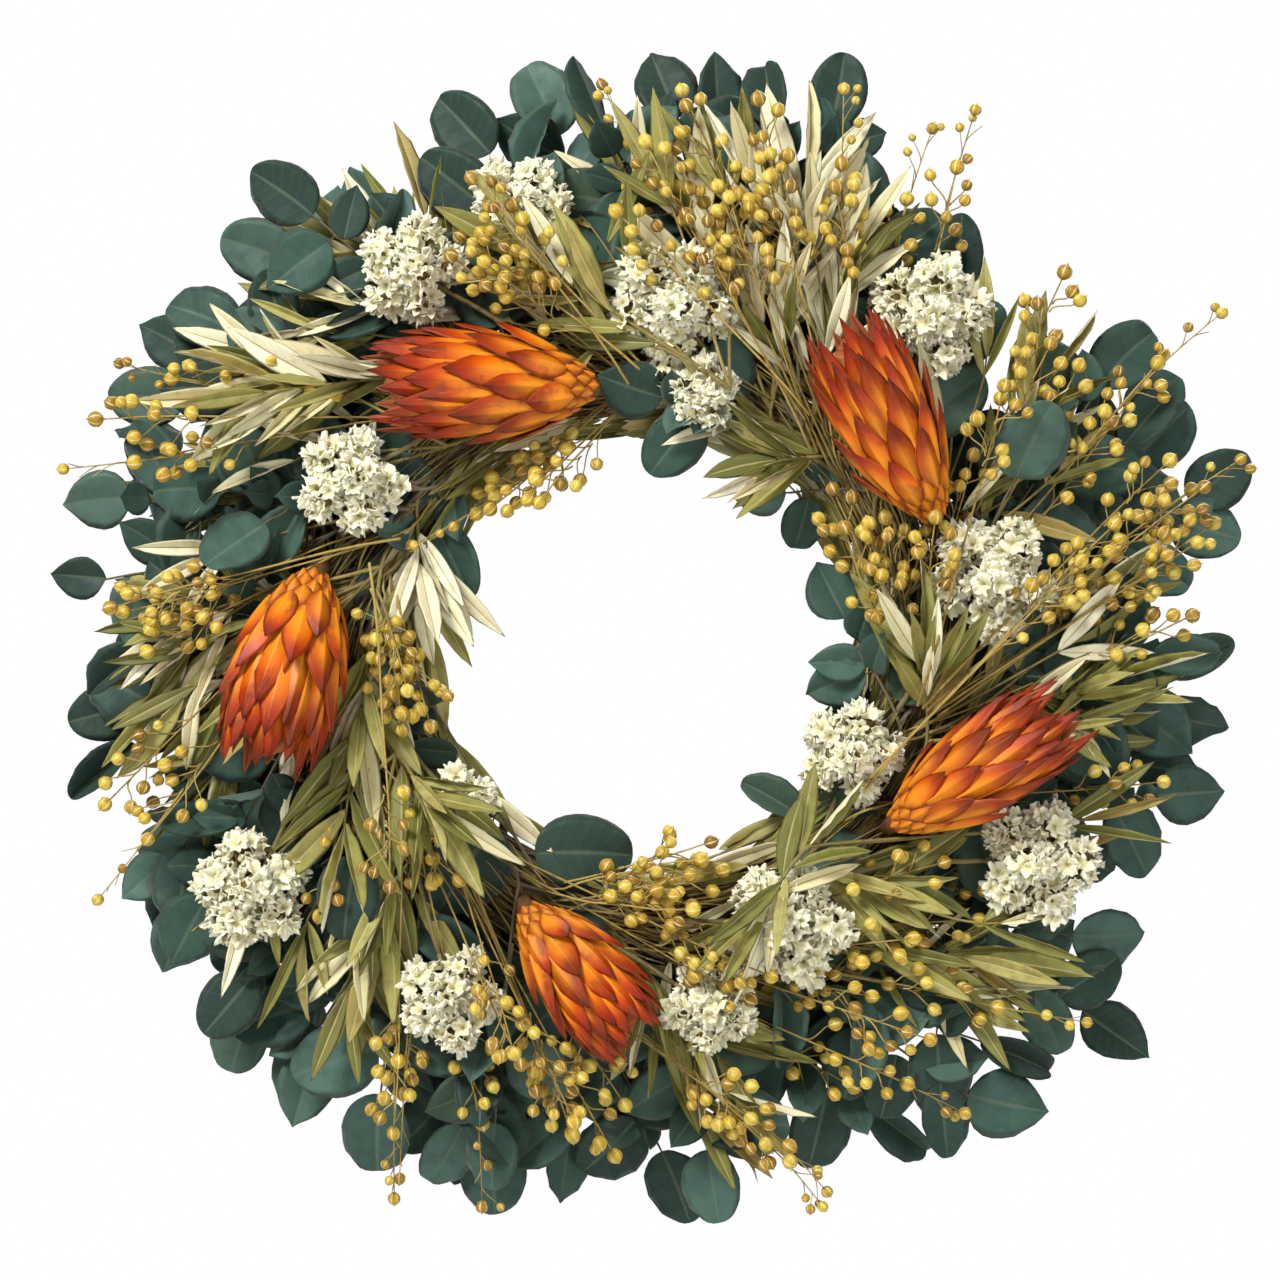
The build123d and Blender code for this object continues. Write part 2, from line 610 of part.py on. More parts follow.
def lay_protea(laid):
    """The heads lie on the leafy bed, each wired to the ring by its own stem."""
    for name, (bearing, radius, turn, length, width) in PROTEA.items():
        heading = bearing + 90 - turn
        base = base_of(bearing, radius, heading, length / 2)
        base[2] = BED_PROTEA + 0.46 * width
        m = frame_at(base, heading, PROTEA_RISE)
        foot = base - PROTEA_STEM * unit(heading)
        foot[2] = ring_top(foot) + PROTEA_STEM_R + 1.0
        local = np.linalg.inv(m) @ np.append(foot, 1.0)
        stem = Rod(local[:3], (5, 0, 0), PROTEA_STEM_R)
        members = [(ProteaHead(length, width), np.eye(4)), (stem, np.eye(4))]
        mark(cloud(members), m)
        laid.setdefault(name, []).extend(solids_of(members, m, joined=True))


def lay_top_leaves(laid):
    """Single leaves that stand over their neighbours, each on a short stalk."""
    for name, (bearing, radius, turn, length, stem) in TOP_LEAVES.items():
        heading = bearing + 90 - turn
        members = [(Rod((0, 0, 0), (stem, 0, 0), 0.7), np.eye(4))]
        members += [(Leaf(length, length * 0.8, False), shifted(stem + 1.0, 0, 0))]
        base = base_of(bearing, radius, heading, stem + length / 2)
        m = lay_sprig(members, base, heading, stem, BED_FLAX - 4, (-10, 26), 50)
        if m is not None:
            laid[name].extend(solids_of(members, m, joined=False))


def build():
    mark_ring()
    nodes = {}
    for k, hoop in enumerate(hoops(), 1):
        nodes[f"vine_hoop_{k}"] = [hoop]
    nodes["vine_ties"] = binder_loops()
    nodes["binding_wire"] = wire_loops()
    nodes["hanger_ties"] = hanger_ties()
    nodes["hanging_loop"] = [hanger_loop()]
    laid = {}
    lay_protea(laid)
    lay_leafy(EUCALYPTUS_BACK, BED_BACK, 0.8, False, 60, 0.44, laid, FLANK)
    lay_leafy(EUCALYPTUS, BED_EUCALYPTUS, 0.8, False, 60, 0.44, laid)
    lay_leafy(OLIVE_UNDER, BED_OLIVE, 0.24, True, 28, 0.16, laid)
    lay_statice(laid)
    lay_leafy(OLIVE, BED_OLIVE, 0.24, True, 28, 0.16, laid)
    lay_top_leaves(laid)
    lay_flax(laid)
    nodes.update(laid)
    return nodes


def main():
    os.makedirs("parts", exist_ok=True)
    hang = Pos(0, HINGE_H, -NAIL_V) * Rot(90, 0, 0)
    for name, solids in build().items():
        export_step(Compound(children=[hang * s for s in solids]), f"parts/{name}.step")
    print(f"hinge axis at y {HINGE_H - HINGE_H:.2f}, z {HINGE_V - NAIL_V:.2f}; ring centre z {-NAIL_V:.2f}; "
          f"door plane y {HINGE_H:.2f}")


main()
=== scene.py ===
"""Looks for the dried-flower door wreath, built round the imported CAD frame.

Each leaf, stalk, flower head and vine takes its place from its own CAD solid: the script finds the closed
solids of a node's mesh, reads where each one starts, ends and faces, and grows a detailed piece there.
"""
import json
import math

import bpy
import numpy as np
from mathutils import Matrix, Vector


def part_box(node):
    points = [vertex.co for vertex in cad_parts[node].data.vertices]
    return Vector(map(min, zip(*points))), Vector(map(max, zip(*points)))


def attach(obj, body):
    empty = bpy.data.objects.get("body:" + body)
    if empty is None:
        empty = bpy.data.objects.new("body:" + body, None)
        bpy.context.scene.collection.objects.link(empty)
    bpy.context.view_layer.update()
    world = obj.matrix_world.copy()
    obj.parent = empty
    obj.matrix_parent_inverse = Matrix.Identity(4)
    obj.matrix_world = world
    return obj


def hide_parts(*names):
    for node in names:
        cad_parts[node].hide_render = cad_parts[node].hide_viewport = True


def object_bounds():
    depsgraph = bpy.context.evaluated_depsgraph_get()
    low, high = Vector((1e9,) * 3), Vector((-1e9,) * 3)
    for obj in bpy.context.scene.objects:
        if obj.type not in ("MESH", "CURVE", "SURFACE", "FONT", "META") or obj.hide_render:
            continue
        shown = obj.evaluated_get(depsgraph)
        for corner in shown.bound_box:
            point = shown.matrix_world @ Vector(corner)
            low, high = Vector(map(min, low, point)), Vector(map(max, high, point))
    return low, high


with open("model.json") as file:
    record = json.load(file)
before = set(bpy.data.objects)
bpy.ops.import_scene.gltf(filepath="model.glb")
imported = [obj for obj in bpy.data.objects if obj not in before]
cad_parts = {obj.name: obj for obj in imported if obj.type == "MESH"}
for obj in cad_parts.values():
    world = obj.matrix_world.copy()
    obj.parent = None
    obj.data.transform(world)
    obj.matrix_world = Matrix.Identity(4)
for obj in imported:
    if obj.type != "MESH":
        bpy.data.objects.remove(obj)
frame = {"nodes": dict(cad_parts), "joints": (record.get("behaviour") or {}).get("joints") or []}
cad_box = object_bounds()

MM = 0.001
RIGHT, FRONT, UP = np.array([1.0, 0.0, 0.0]), np.array([0.0, -1.0, 0.0]), np.array([0.0, 0.0, 1.0])
GOLDEN = math.radians(137.508)
MAIN_BODY = "wreath"

NODES = frame["nodes"]
hoop_low, hoop_high = (np.array(c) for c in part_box("vine_hoop_1"))
RING_C = (hoop_low + hoop_high) / 2
VINE_R = (hoop_high[1] - hoop_low[1]) / 2
RING_R = (hoop_high[0] - hoop_low[0]) / 2 - VINE_R

# The hanging loop tips forward round its hinge, and foliage leaves it room.
hinge = next(j for j in frame["joints"] if j["name"] == "hanger_hinge")
loop_low, loop_high = (np.array(c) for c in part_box("hanging_loop"))
LOOP_C, LOOP_HALF = (loop_low + loop_high) / 2, (loop_high - loop_low) / 2
LOOP_REACH = loop_high[2] - hinge["pos_m"][2]
SWING_FRONT = loop_low[1] - LOOP_REACH * math.sin(math.radians(max(hinge["range_deg"])))


# ---------------------------------------------------------------- vectors
def norm(v):
    return float(np.linalg.norm(v))


def unit(v):
    return v / max(norm(v), 1e-12)


def across_of(direction, towards):
    """Unit vector at right angles to direction, as near as can be to towards."""
    return unit(towards - direction * float(towards @ direction))


def turned(v, axis, angle):
    """v turned about a unit axis."""
    return spun(v, np.cross(axis, v), angle) + axis * float(axis @ v) * (1 - math.cos(angle))


def spun(a, b, angle):
    """a turned towards b, which stands at right angles to it."""
    return a * np.cos(angle) + b * np.sin(angle)


def between(a, b, angle):
    return unit(spun(a, b, angle))


def seeded(name):
    return np.random.default_rng(sum(ord(c) * (i + 7) for i, c in enumerate(name)))


# ---------------------------------------------------------------- the CAD solids
FREE_BACK = 1 * MM      # how far back leaves and stalks lie free of the door
PRESSED_IN = 7 * MM     # all that lies further back is pressed into this much room
SPECK = 20      # fewer vertices than this are a flaw of the mesh, not a solid


def solids(node):
    """Welded vertices of each closed solid of a CAD node."""
    mesh = NODES[node].data
    co = np.empty(len(mesh.vertices) * 3)
    mesh.vertices.foreach_get("co", co)
    loops = np.empty(len(mesh.loops), np.int32)
    mesh.loops.foreach_get("vertex_index", loops)
    points, same = np.unique(np.round(co.reshape(-1, 3) * 1e6).astype(np.int64), axis=0, return_inverse=True)
    tri = same.reshape(-1)[loops].reshape(-1, 3)
    label = np.arange(len(points))
    while True:
        low = label[tri].min(axis=1)
        new = label.copy()
        np.minimum.at(new, tri.reshape(-1), np.repeat(low, 3))
        new = new[new]
        if (new == label).all():
            break
        label = new
    points = points * 1e-6
    found = [points[label == k] for k in np.unique(label)]
    return [p for p in found if len(p) > SPECK]


def axes_of(points):
    """Middle, the three axes from longest to shortest, and the extent along each."""
    centre = points.mean(axis=0)
    _, _, rows = np.linalg.svd(points - centre, full_matrices=False)
    along = (points - centre) @ rows.T
    low, high = along.min(axis=0), along.max(axis=0)
    return centre + ((low + high) / 2) @ rows, rows, high - low


def from_centre(p):
    """How far a point lies from the wreath's centre as seen from the front, and its bearing."""
    x, _, z = p - RING_C
    return math.hypot(x, z), math.atan2(z, x)


def outward(bearing):
    return spun(RIGHT, UP, bearing)


def ring_distance(p):
    """Distance from the ring's centreline."""
    return math.hypot(from_centre(p)[0] - RING_R, p[1] - RING_C[1])


def ring_near(p):
    """Nearest point of the ring's centreline, and its anticlockwise tangent."""
    out = outward(from_centre(p)[1])
    return RING_C + out * RING_R, np.cross(FRONT, out)


def ring_point(bearing, around, radius):
    """Point by the ring: around is 0 at its front, positive towards its outside."""
    out = outward(bearing)
    return RING_C + out * RING_R + radius * spun(FRONT, out, around)


# ---------------------------------------------------------------- joined meshes
def placed(name, data):
    obj = bpy.data.objects.new(name, data)
    bpy.context.scene.collection.objects.link(obj)
    return obj


class Batch:
    """Everything that goes into one piece: vertices, faces with their material, and four numbers a vertex.

    The numbers are a random tint, the share of the way along, the share of the way across, and a second
    random number. The materials read them from the attribute "grown"."""

    def __init__(self):
        self.verts, self.faces, self.slots, self.data, self.count = [], [], [], [], 0

    def add(self, verts, faces, slots, data):
        verts = np.asarray(verts, float)
        for block, slot in zip(faces, slots):
            block = np.asarray(block) + self.count
            self.faces += block.tolist()
            self.slots.append(np.full(len(block), slot))
        self.verts.append(verts)
        self.data.append(data)
        self.count += len(verts)

    def press(self):
        """The door presses flat what reaches it, and the hanging loop what lies in its way."""
        for verts in self.verts:
            beside = np.maximum(np.abs(verts - LOOP_C) - LOOP_HALF, 0)
            beside = np.hypot(beside[:, 0], beside[:, 2])
            free = np.minimum(FREE_BACK, SWING_FRONT - PRESSED_IN + beside)
            behind = np.maximum(verts[:, 1] - free, 0)
            verts[:, 1] += PRESSED_IN * (1 - np.exp(-behind / PRESSED_IN)) - behind

    def piece(self, name, materials, node):
        mesh = bpy.data.meshes.new(name)
        mesh.from_pydata(np.concatenate(self.verts).tolist(), [], self.faces)
        for m in materials:
            mesh.materials.append(m)
        mesh.polygons.foreach_set("material_index", np.concatenate(self.slots).astype(np.int32))
        grown = mesh.attributes.new("grown", "FLOAT_COLOR", "POINT")
        grown.data.foreach_set("color", np.concatenate(self.data).astype(np.float32).reshape(-1))
        mesh.shade_smooth()
        mesh.update()
        obj = placed(name, mesh)
        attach(obj, MAIN_BODY)
        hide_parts(node)


def grid_faces(rows, cols):
    """Quads between rows of a grid, whose last column joins its first."""
    r = np.arange(rows - 1)[:, None] * cols
    c = np.arange(cols)[None, :]
    n = (c + 1) % cols
    return np.stack([r + c, r + n, r + cols + n, r + cols + c], -1).reshape(-1, 4)


def grown(tint, along, across, other):
    """The four numbers of each vertex, for the attribute "grown"."""
    return np.stack(np.broadcast_arrays(tint, along, across, other), -1)


def tube(batch, path, radii, slot, rng, sides=6, tint=None, rough=0.0):
    """Closed tube along a path, with a point at each end. Two radii are a taper."""
    tint = rng.random() if tint is None else tint
    path = np.asarray(path, float)
    n = len(path)
    radii = np.linspace(*radii, n) if len(radii) == 2 else radii
    run = np.gradient(path, axis=0)
    run /= np.linalg.norm(run, axis=1)[:, None]
    side = across_of(run[0], UP if abs(run[0][2]) < 0.9 else FRONT)
    k = np.arange(sides)
    angles = k * 2 * math.pi / sides
    verts = np.empty((n, sides, 3))
    for i in range(n):
        side = across_of(run[i], side)
        r = radii[i] * (1 + (rough * rng.standard_normal((sides, 1)) if rough else 0))
        verts[i] = path[i] + spun(side, np.cross(run[i], side), angles[:, None]) * r
    ends = np.array([path[0] - run[0] * radii[0] * 0.6, path[-1] + run[-1] * radii[-1] * 0.6])
    m = (k + 1) % sides
    first = np.stack([m, k, np.full(sides, n * sides)], -1)
    last = np.stack([k + (n - 1) * sides, m + (n - 1) * sides, np.full(sides, n * sides + 1)], -1)
    data = grown(tint, np.repeat(np.linspace(0, 1, n), sides), np.tile(k / sides, n), tint * 7 % 1)
    data = np.concatenate([data, data[:1], data[-1:]])
    verts = np.concatenate([verts.reshape(-1, 3), ends])
    batch.add(verts, [grid_faces(n, sides), first, last], [slot] * 3, data)


def bezier(a, b, c, d, n):
    t = np.linspace(0, 1, n)[:, None]
    return (1 - t) ** 3 * a + 3 * (1 - t) ** 2 * t * b + 3 * (1 - t) * t ** 2 * c + t ** 3 * d


# ---------------------------------------------------------------- leaves
LEAF_COLS = np.array([-1.0, -0.72, -0.4, -0.09, 0.0, 0.09, 0.4, 0.72, 1.0])     # places from rim to rim
# outlines: where each row stands, as a share of the length, and its width, as a share of the greatest
OVATE = (np.array([0, .04, .11, .2, .31, .42, .54, .66, .77, .86, .93, .97, 1.0]),
         np.array([0, .3, .62, .85, .97, 1.0, .95, .83, .64, .41, .19, .08, 0]))
TURNS = np.linspace(0, math.pi, 17)
ROUND = ((1 - np.cos(TURNS)) / 2, np.sin(TURNS) * (1 + 0.12 * np.cos(TURNS)))
LANCE = (np.array([0, .05, .13, .24, .37, .5, .63, .75, .86, .94, 1.0]),
         np.array([0, .24, .52, .8, .97, 1.0, .92, .74, .46, .2, 0]))
BRACT = (np.array([0, .05, .14, .26, .4, .54, .67, .78, .87, .94, 1.0]),
         np.array([0, .5, .76, .92, 1.0, .94, .78, .56, .35, .16, 0]))


def leaf_faces(rows):
    """Faces of a thin closed leaf: an upper and a lower sheet with a shared rim and a point at each end."""
    cols = len(LEAF_COLS)
    upper = 1 + np.arange(rows * cols).reshape(rows, cols)
    tip = 1 + rows * cols
    lower = upper.copy()
    lower[:, 1:-1] = tip + 1 + np.arange(rows * (cols - 2)).reshape(rows, cols - 2)
    out = []
    for sheet, flip in ((upper, False), (lower, True)):
        a, b, c, d = sheet[:-1, :-1], sheet[:-1, 1:], sheet[1:, 1:], sheet[1:, :-1]
        quads = np.stack([a, b, c, d] if flip else [a, d, c, b], -1).reshape(-1, 4)
        root = np.stack([np.zeros(cols - 1, int), sheet[0, :-1], sheet[0, 1:]], -1)
        end = np.stack([np.full(cols - 1, tip), sheet[-1, 1:], sheet[-1, :-1]], -1)
        out += [quads, root[:, ::-1], end[:, ::-1]] if flip else [quads, root, end]
    return out


LEAF_FACES = {len(shape[0]): leaf_faces(len(shape[0]) - 2) for shape in (OVATE, ROUND, LANCE, BRACT)}


def off_door(base, direction, length):
    """The direction, leant forward where so long a leaf would reach the door."""
    room = (FREE_BACK - base[1]) / length
    if direction[1] <= room:
        return direction
    room = max(room, -0.6)
    return unit(direction * [1, 0, 1]) * math.sqrt(1 - room * room) - FRONT * room


def leaf(batch, base, direction, facing, length, width, shape, slots, rng, bend=0.0, swerve=0.0, fold=0.0,
         twist=0.0, wave=0.02, thick=0.3 * MM, rib=0.35 * MM, tint=None):
    """One leaf. It bends away from its face, swerves, folds along its midrib and twists, in radians."""
    at, half = shape
    rows = len(at) - 2
    cols = len(LEAF_COLS)
    tint = rng.random() if tint is None else tint
    other = rng.random()
    x = off_door(base, unit(direction), length)
    z = across_of(x, facing)
    y = np.cross(z, x)
    pitch, yaw = bend * at, swerve * at
    run = np.stack([np.cos(pitch) * np.cos(yaw), np.cos(pitch) * np.sin(yaw), -np.sin(pitch)], -1)
    step = np.diff(at, prepend=0)[:, None] * length
    line = np.cumsum(step * run, axis=0)
    side = np.stack([-np.sin(yaw), np.cos(yaw), np.zeros_like(yaw)], -1)
    up = np.cross(run, side)
    roll = (twist * at)[:, None]
    side, up = spun(side, up, roll), spun(up, -side, roll)
    s = LEAF_COLS[None, :, None]
    w = (half * width / 2)[:, None, None]
    ripple = wave * width * np.sin(at * 23 + other * 9)[:, None, None]
    ripple = ripple * np.abs(s) ** 2 * np.sign(s + 0.01 * (other - 0.5))
    crease = rib * np.exp(-(s / 0.12) ** 2) * np.sqrt(half)[:, None, None]
    spread = s * w * math.cos(fold)
    lift = np.abs(s) * w * math.sin(fold) + ripple - crease
    mid = line[:, None, :] + side[:, None, :] * spread + up[:, None, :] * lift
    gap = thick * (1 - np.abs(s) ** 3) * np.minimum(1, 4 * half)[:, None, None] / 2
    top = mid + up[:, None, :] * gap
    low = mid - up[:, None, :] * (gap + 0.6 * crease)
    verts = np.concatenate([line[:1], top[1:-1].reshape(-1, 3), line[-1:], low[1:-1, 1:-1].reshape(-1, 3)])
    verts = base + verts @ np.stack([x, y, z])
    share, place = at[1:-1], 0.5 + 0.5 * LEAF_COLS
    along = np.concatenate([[0], np.repeat(share, cols), [1], np.repeat(share, cols - 2)])
    across = np.concatenate([[0.5], np.tile(place, rows), [0.5], np.tile(place[1:-1], rows)])
    batch.add(verts, LEAF_FACES[len(at)], [slots[0]] * 3 + [slots[1]] * 3, grown(tint, along, across, other))


# ---------------------------------------------------------------- stamped small things
class Stamp:
    """A small mesh at unit size that is copied many times. It stands along its own z."""

    def __init__(self, verts, faces, slots, share, across):
        self.verts, self.faces, self.slots = np.asarray(verts, float), faces, slots
        self.share, self.across = np.asarray(share, float), np.asarray(across, float)

    def put(self, batch, at, direction, size, rng, tint=None, squash=1.0):
        z = unit(direction)
        x = across_of(z, unit(rng.standard_normal(3)))
        y = np.cross(z, x)
        verts = at + (self.verts * [1, 1, squash]) @ np.stack([x, y, z]) * size
        tint = rng.random() if tint is None else tint
        batch.add(verts, self.faces, self.slots, grown(tint, self.share, self.across, rng.random()))


def lathe_stamp(rings, sides, slot):
    """Closed stamp from (radius, height) rings, where radius and height may be functions of the angle."""
    angle = np.arange(sides) * 2 * math.pi / sides
    verts, share = [], []
    for k, (radius, height) in enumerate(rings[1:-1]):
        r = radius(angle) if callable(radius) else np.full(sides, radius)
        h = height(angle) if callable(height) else np.full(sides, height)
        verts.append(np.stack([r * np.cos(angle), r * np.sin(angle), h], -1))
        share.append(np.full(sides, (k + 1) / (len(rings) - 1)))
    n = len(verts)
    k = np.arange(sides)
    m = (k + 1) % sides
    bottom, top = n * sides, n * sides + 1
    first = np.stack([m, k, np.full(sides, bottom)], -1)
    last = np.stack([k + (n - 1) * sides, m + (n - 1) * sides, np.full(sides, top)], -1)
    verts = np.concatenate(verts + [[[0, 0, rings[0][1]], [0, 0, rings[-1][1]]]])
    share = np.concatenate(share + [[0.0, 1.0]])
    across = np.concatenate([np.tile(k / sides, n), [0.5, 0.5]])
    return Stamp(verts, [grid_faces(n, sides), first, last], [slot] * 3, share, across)


def pod_stamp(slot):
    """Flax capsule of radius 1: five lobes, faint seams between their halves, and a short point."""
    def ribbed(r):
        return lambda a: r * (1 - 0.05 * np.abs(np.cos(2.5 * a)) ** 6 - 0.02 * np.abs(np.sin(2.5 * a)) ** 8)
    body = ((0.36, -0.9), (0.7, -0.68), (0.93, -0.34), (1.0, 0.02), (0.93, 0.38), (0.7, 0.7), (0.38, 0.91))
    rings = [(0, -0.94)] + [(ribbed(r), h) for r, h in body] + [(0.12, 1.0), (0.05, 1.16), (0, 1.26)]
    return lathe_stamp(rings, 20, slot)


def calyx_stamp(slot):
    """Five narrow sepals that clasp the foot of a capsule of radius 1."""
    def star(low, rise):
        return lambda a: low + rise * (0.5 + 0.5 * np.cos(5 * a)) ** 2
    cup = [(star(*radius), star(*height)) for radius, height in (
        ((0.3, 0.32), (-0.99, 0.14)), ((0.34, 0.73), (-0.93, 0.62)), ((0.3, 0.7), (-0.9, 0.6)))]
    return lathe_stamp([(0, -1.02), (0.16, -1.03), *cup, (0.12, -0.88), (0, -0.86)], 20, slot)


def floret_stamp(slot, rng):
    """Statice floret of radius 1: a papery funnel with a thin wall and a ruffled, five-lobed rim."""
    phase = rng.random(4) * 2 * math.pi

    def ruffle(radius, height, depth):
        def r(a):
            return radius * (1 + depth * (0.16 * np.cos(5 * a + phase[0]) + 0.1 * np.cos(9 * a + phase[1])))

        def h(a):
            return height + depth * (0.22 * np.cos(5 * a + phase[2]) + 0.17 * np.sin(8 * a + phase[3])
                                     + 0.1 * np.sin(13 * a + phase[0]))
        return r, h
    outside = ((0.4, 0.0, 0.15), (0.78, 0.28, 0.6), (1.02, 0.42, 1.0))
    inside = ((0.98, 0.47, 1.0), (0.72, 0.34, 0.6), (0.34, 0.08, 0.15))
    rings = [ruffle(*ring) for ring in outside + inside]
    return lathe_stamp([(0, -0.9), (0.1, -0.88), (0.14, -0.45), *rings, (0.1, -0.12), (0, -0.16)], 34, slot)


def knob_stamp(slot, rng):
    """Lumpy ball of radius 1."""
    phase = rng.random(3) * 6

    def lump(r, k):
        return lambda a: r * (1 + 0.13 * np.sin(3 * a + phase[0] + k) + 0.08 * np.sin(5 * a + phase[1] * k))
    heights = np.linspace(-0.95, 0.95, 9)
    rings = [(0, -1.0)] + [(lump(math.sqrt(1 - h * h), k), h) for k, h in enumerate(heights)] + [(0, 1.0)]
    return lathe_stamp(rings, 16, slot)


# ---------------------------------------------------------------- materials
def colour(r, g, b):
    """Linear colour from an 8-bit display colour."""
    def linear(c):
        c /= 255
        return c / 12.92 if c <= 0.04045 else ((c + 0.055) / 1.055) ** 2.4
    return (linear(r), linear(g), linear(b), 1.0)


class Look:
    """A node material, built up in layers. Its calls add nodes and hand back the output socket."""

    def __init__(self, name, roughness, specular=0.3, coat=0.0, sheen=0.0, metallic=0.0):
        self.material = bpy.data.materials.new(name)
        self.material.use_nodes = True
        self.nodes, self.links = self.material.node_tree.nodes, self.material.node_tree.links
        self.shader = self.nodes["Principled BSDF"]
        self.feed_named(self.shader, {
            "Roughness": roughness, "Specular IOR Level": specular, "Sheen Weight": sheen, "Coat Weight": coat,
            "Coat Roughness": 0.35, "Metallic": metallic})
        grown = self.add("ShaderNodeAttribute")
        grown.attribute_name = "grown"
        split = self.add("ShaderNodeSeparateColor", grown.outputs["Color"])
        self.tint, self.along, self.across = split.outputs[:3]
        self.other = grown.outputs["Alpha"]
        self.place = self.add("ShaderNodeTexCoord").outputs["Object"]
        self.shade = None

    def add(self, kind, *inputs):
        node = self.nodes.new(kind)
        for k, value in enumerate(inputs):
            self.feed(node.inputs[k], value)
        return node

    def feed(self, socket, value):
        if isinstance(value, bpy.types.NodeSocket):
            self.links.new(value, socket)
        elif value is not None:
            socket.default_value = value

    def feed_named(self, node, values):
        for name, value in values.items():
            self.feed(node.inputs[name], value)
        return node

    def maths(self, operation, *values):
        node = self.add("ShaderNodeMath", *values)
        node.operation = operation
        return node.outputs[0]

    def times(self, a, b):
        return self.maths("MULTIPLY", a, b)

    def noise(self, scale, detail=3.0, rough=0.55, vector=None):
        values = {"Vector": vector or self.place, "Scale": scale, "Detail": detail, "Roughness": rough}
        return self.feed_named(self.add("ShaderNodeTexNoise"), values).outputs["Fac"]

    def streaks(self, x, y, z, detail=3.0, rough=0.55):
        """Noise that is drawn out, read at a place made of three sockets."""
        return self.noise(1.0, detail, rough, self.add("ShaderNodeCombineXYZ", x, y, z).outputs[0])

    def fibres(self, along, across, drift, detail=3.0, rough=0.55):
        """Noise drawn out along a leaf or a stem."""
        x, y = self.times(self.along, along), self.times(self.across, across)
        return self.streaks(x, y, drift, detail, rough)

    def ramp(self, value, *stops):
        """Colours along 0 to 1. Each stop is a place and a linear colour."""
        node = self.add("ShaderNodeValToRGB", value)
        elements = node.color_ramp.elements
        while len(elements) < len(stops):
            elements.new(0.5)
        for element, (at, shade) in zip(elements, stops):
            element.position, element.color = at, shade
        return node.outputs["Color"]

    def display_ramp(self, value, *stops):
        """A ramp whose stops are each a place and an 8-bit display colour."""
        return self.ramp(value, *((at, colour(*rgb)) for at, rgb in stops))

    def range(self, value, low, high, to_low=0.0, to_high=1.0):
        node = self.add("ShaderNodeMapRange", value, low, high, to_low, to_high)
        node.interpolation_type = "SMOOTHSTEP"
        return node.outputs[0]

    def mix(self, share, a, b):
        node = self.add("ShaderNodeMix")
        node.data_type = "RGBA"
        for k, value in zip((0, 6, 7), (share, a, b)):
            self.feed(node.inputs[k], value)
        return node.outputs[2]

    def lay(self, share, rgb):
        """Lays an 8-bit display colour over the shade."""
        self.shade = self.mix(share, self.shade, colour(*rgb))

    def lay_where(self, value, low, high, most, rgb):
        """Lays a colour over the shade from where value is low, which has none, to where it is high."""
        self.lay(self.range(value, low, high, 0.0, most), rgb)

    def aside(self):
        """How far a point lies from the middle of its leaf, 0 at the midrib and 1 at the rim."""
        return self.maths("ABSOLUTE", self.maths("MULTIPLY_ADD", self.across, 2.0, -1.0))

    def side_veins(self, count, slant):
        """Lines that run from the midrib forward to the rim: 1 on a vein, 0 between."""
        phase = self.maths("SUBTRACT", self.times(self.along, count), self.times(self.aside(), slant))
        return self.range(self.maths("SINE", self.times(phase, 2 * math.pi)), 0.82, 1.0)

    def done(self, height=None, distance=0.3 * MM, strength=0.6, roughness=None):
        self.feed_named(self.shader, {"Base Color": self.shade, "Roughness": roughness})
        if height is not None:
            bump = self.feed_named(self.add("ShaderNodeBump"),
                                   {"Strength": strength, "Distance": distance, "Height": height})
            self.feed_named(self.shader, {"Normal": bump.outputs[0]})
        return self.material


def eucalyptus_look(name, under=False):
    look = Look(name, 0.62, specular=0.28, sheen=0.12)
    look.shade = look.display_ramp(look.tint, (0.0, (32, 54, 44)), (0.3, (46, 72, 61)), (0.6, (62, 92, 80)),
                                   (0.85, (80, 110, 98)), (1.0, (56, 76, 50)))
    if under:
        look.lay(0.45, (106, 128, 118))
    cloudy = look.noise(95, 4)
    look.lay_where(cloudy, 0.35, 0.75, 0.4, (36, 56, 50))
    look.lay_where(look.noise(900, 2), 0.66, 0.8, 0.35, (84, 78, 58))
    veins = look.side_veins(8.0, 1.3)
    look.lay_where(look.aside(), 0.09, 0.02, 0.4, (104, 118, 92))
    look.lay(look.times(veins, 0.06), (110, 128, 110))
    look.lay_where(look.aside(), 0.9, 1.0, 0.5, (82, 74, 56))
    height = look.maths("MULTIPLY_ADD", veins, 0.15, look.noise(420, 4))
    return look.done(height, 0.25 * MM, 0.5, look.range(cloudy, 0.3, 0.7, 0.52, 0.74))


def olive_top_look():
    look = Look("olive_leaf_green", 0.5, specular=0.35)
    look.shade = look.display_ramp(look.tint, (0.0, (102, 106, 50)), (0.35, (130, 132, 62)),
                                   (0.65, (162, 158, 84)), (0.88, (182, 176, 104)), (1.0, (152, 128, 64)))
    look.lay_where(look.noise(120, 4), 0.4, 0.75, 0.55, (112, 92, 44))
    grain = look.fibres(7.0, 26.0, look.tint)
    look.lay_where(grain, 0.45, 0.8, 0.3, (196, 186, 126))
    look.lay_where(look.aside(), 0.12, 0.03, 0.7, (198, 184, 128))
    look.lay_where(look.aside(), 0.86, 1.0, 0.45, (120, 88, 44))
    look.lay_where(look.along, 0.93, 1.0, 0.6, (110, 70, 36))
    height = look.maths("MULTIPLY_ADD", look.noise(500, 3), 0.6, grain)
    return look.done(height, 0.3 * MM, 0.55, look.range(grain, 0.3, 0.7, 0.4, 0.62))


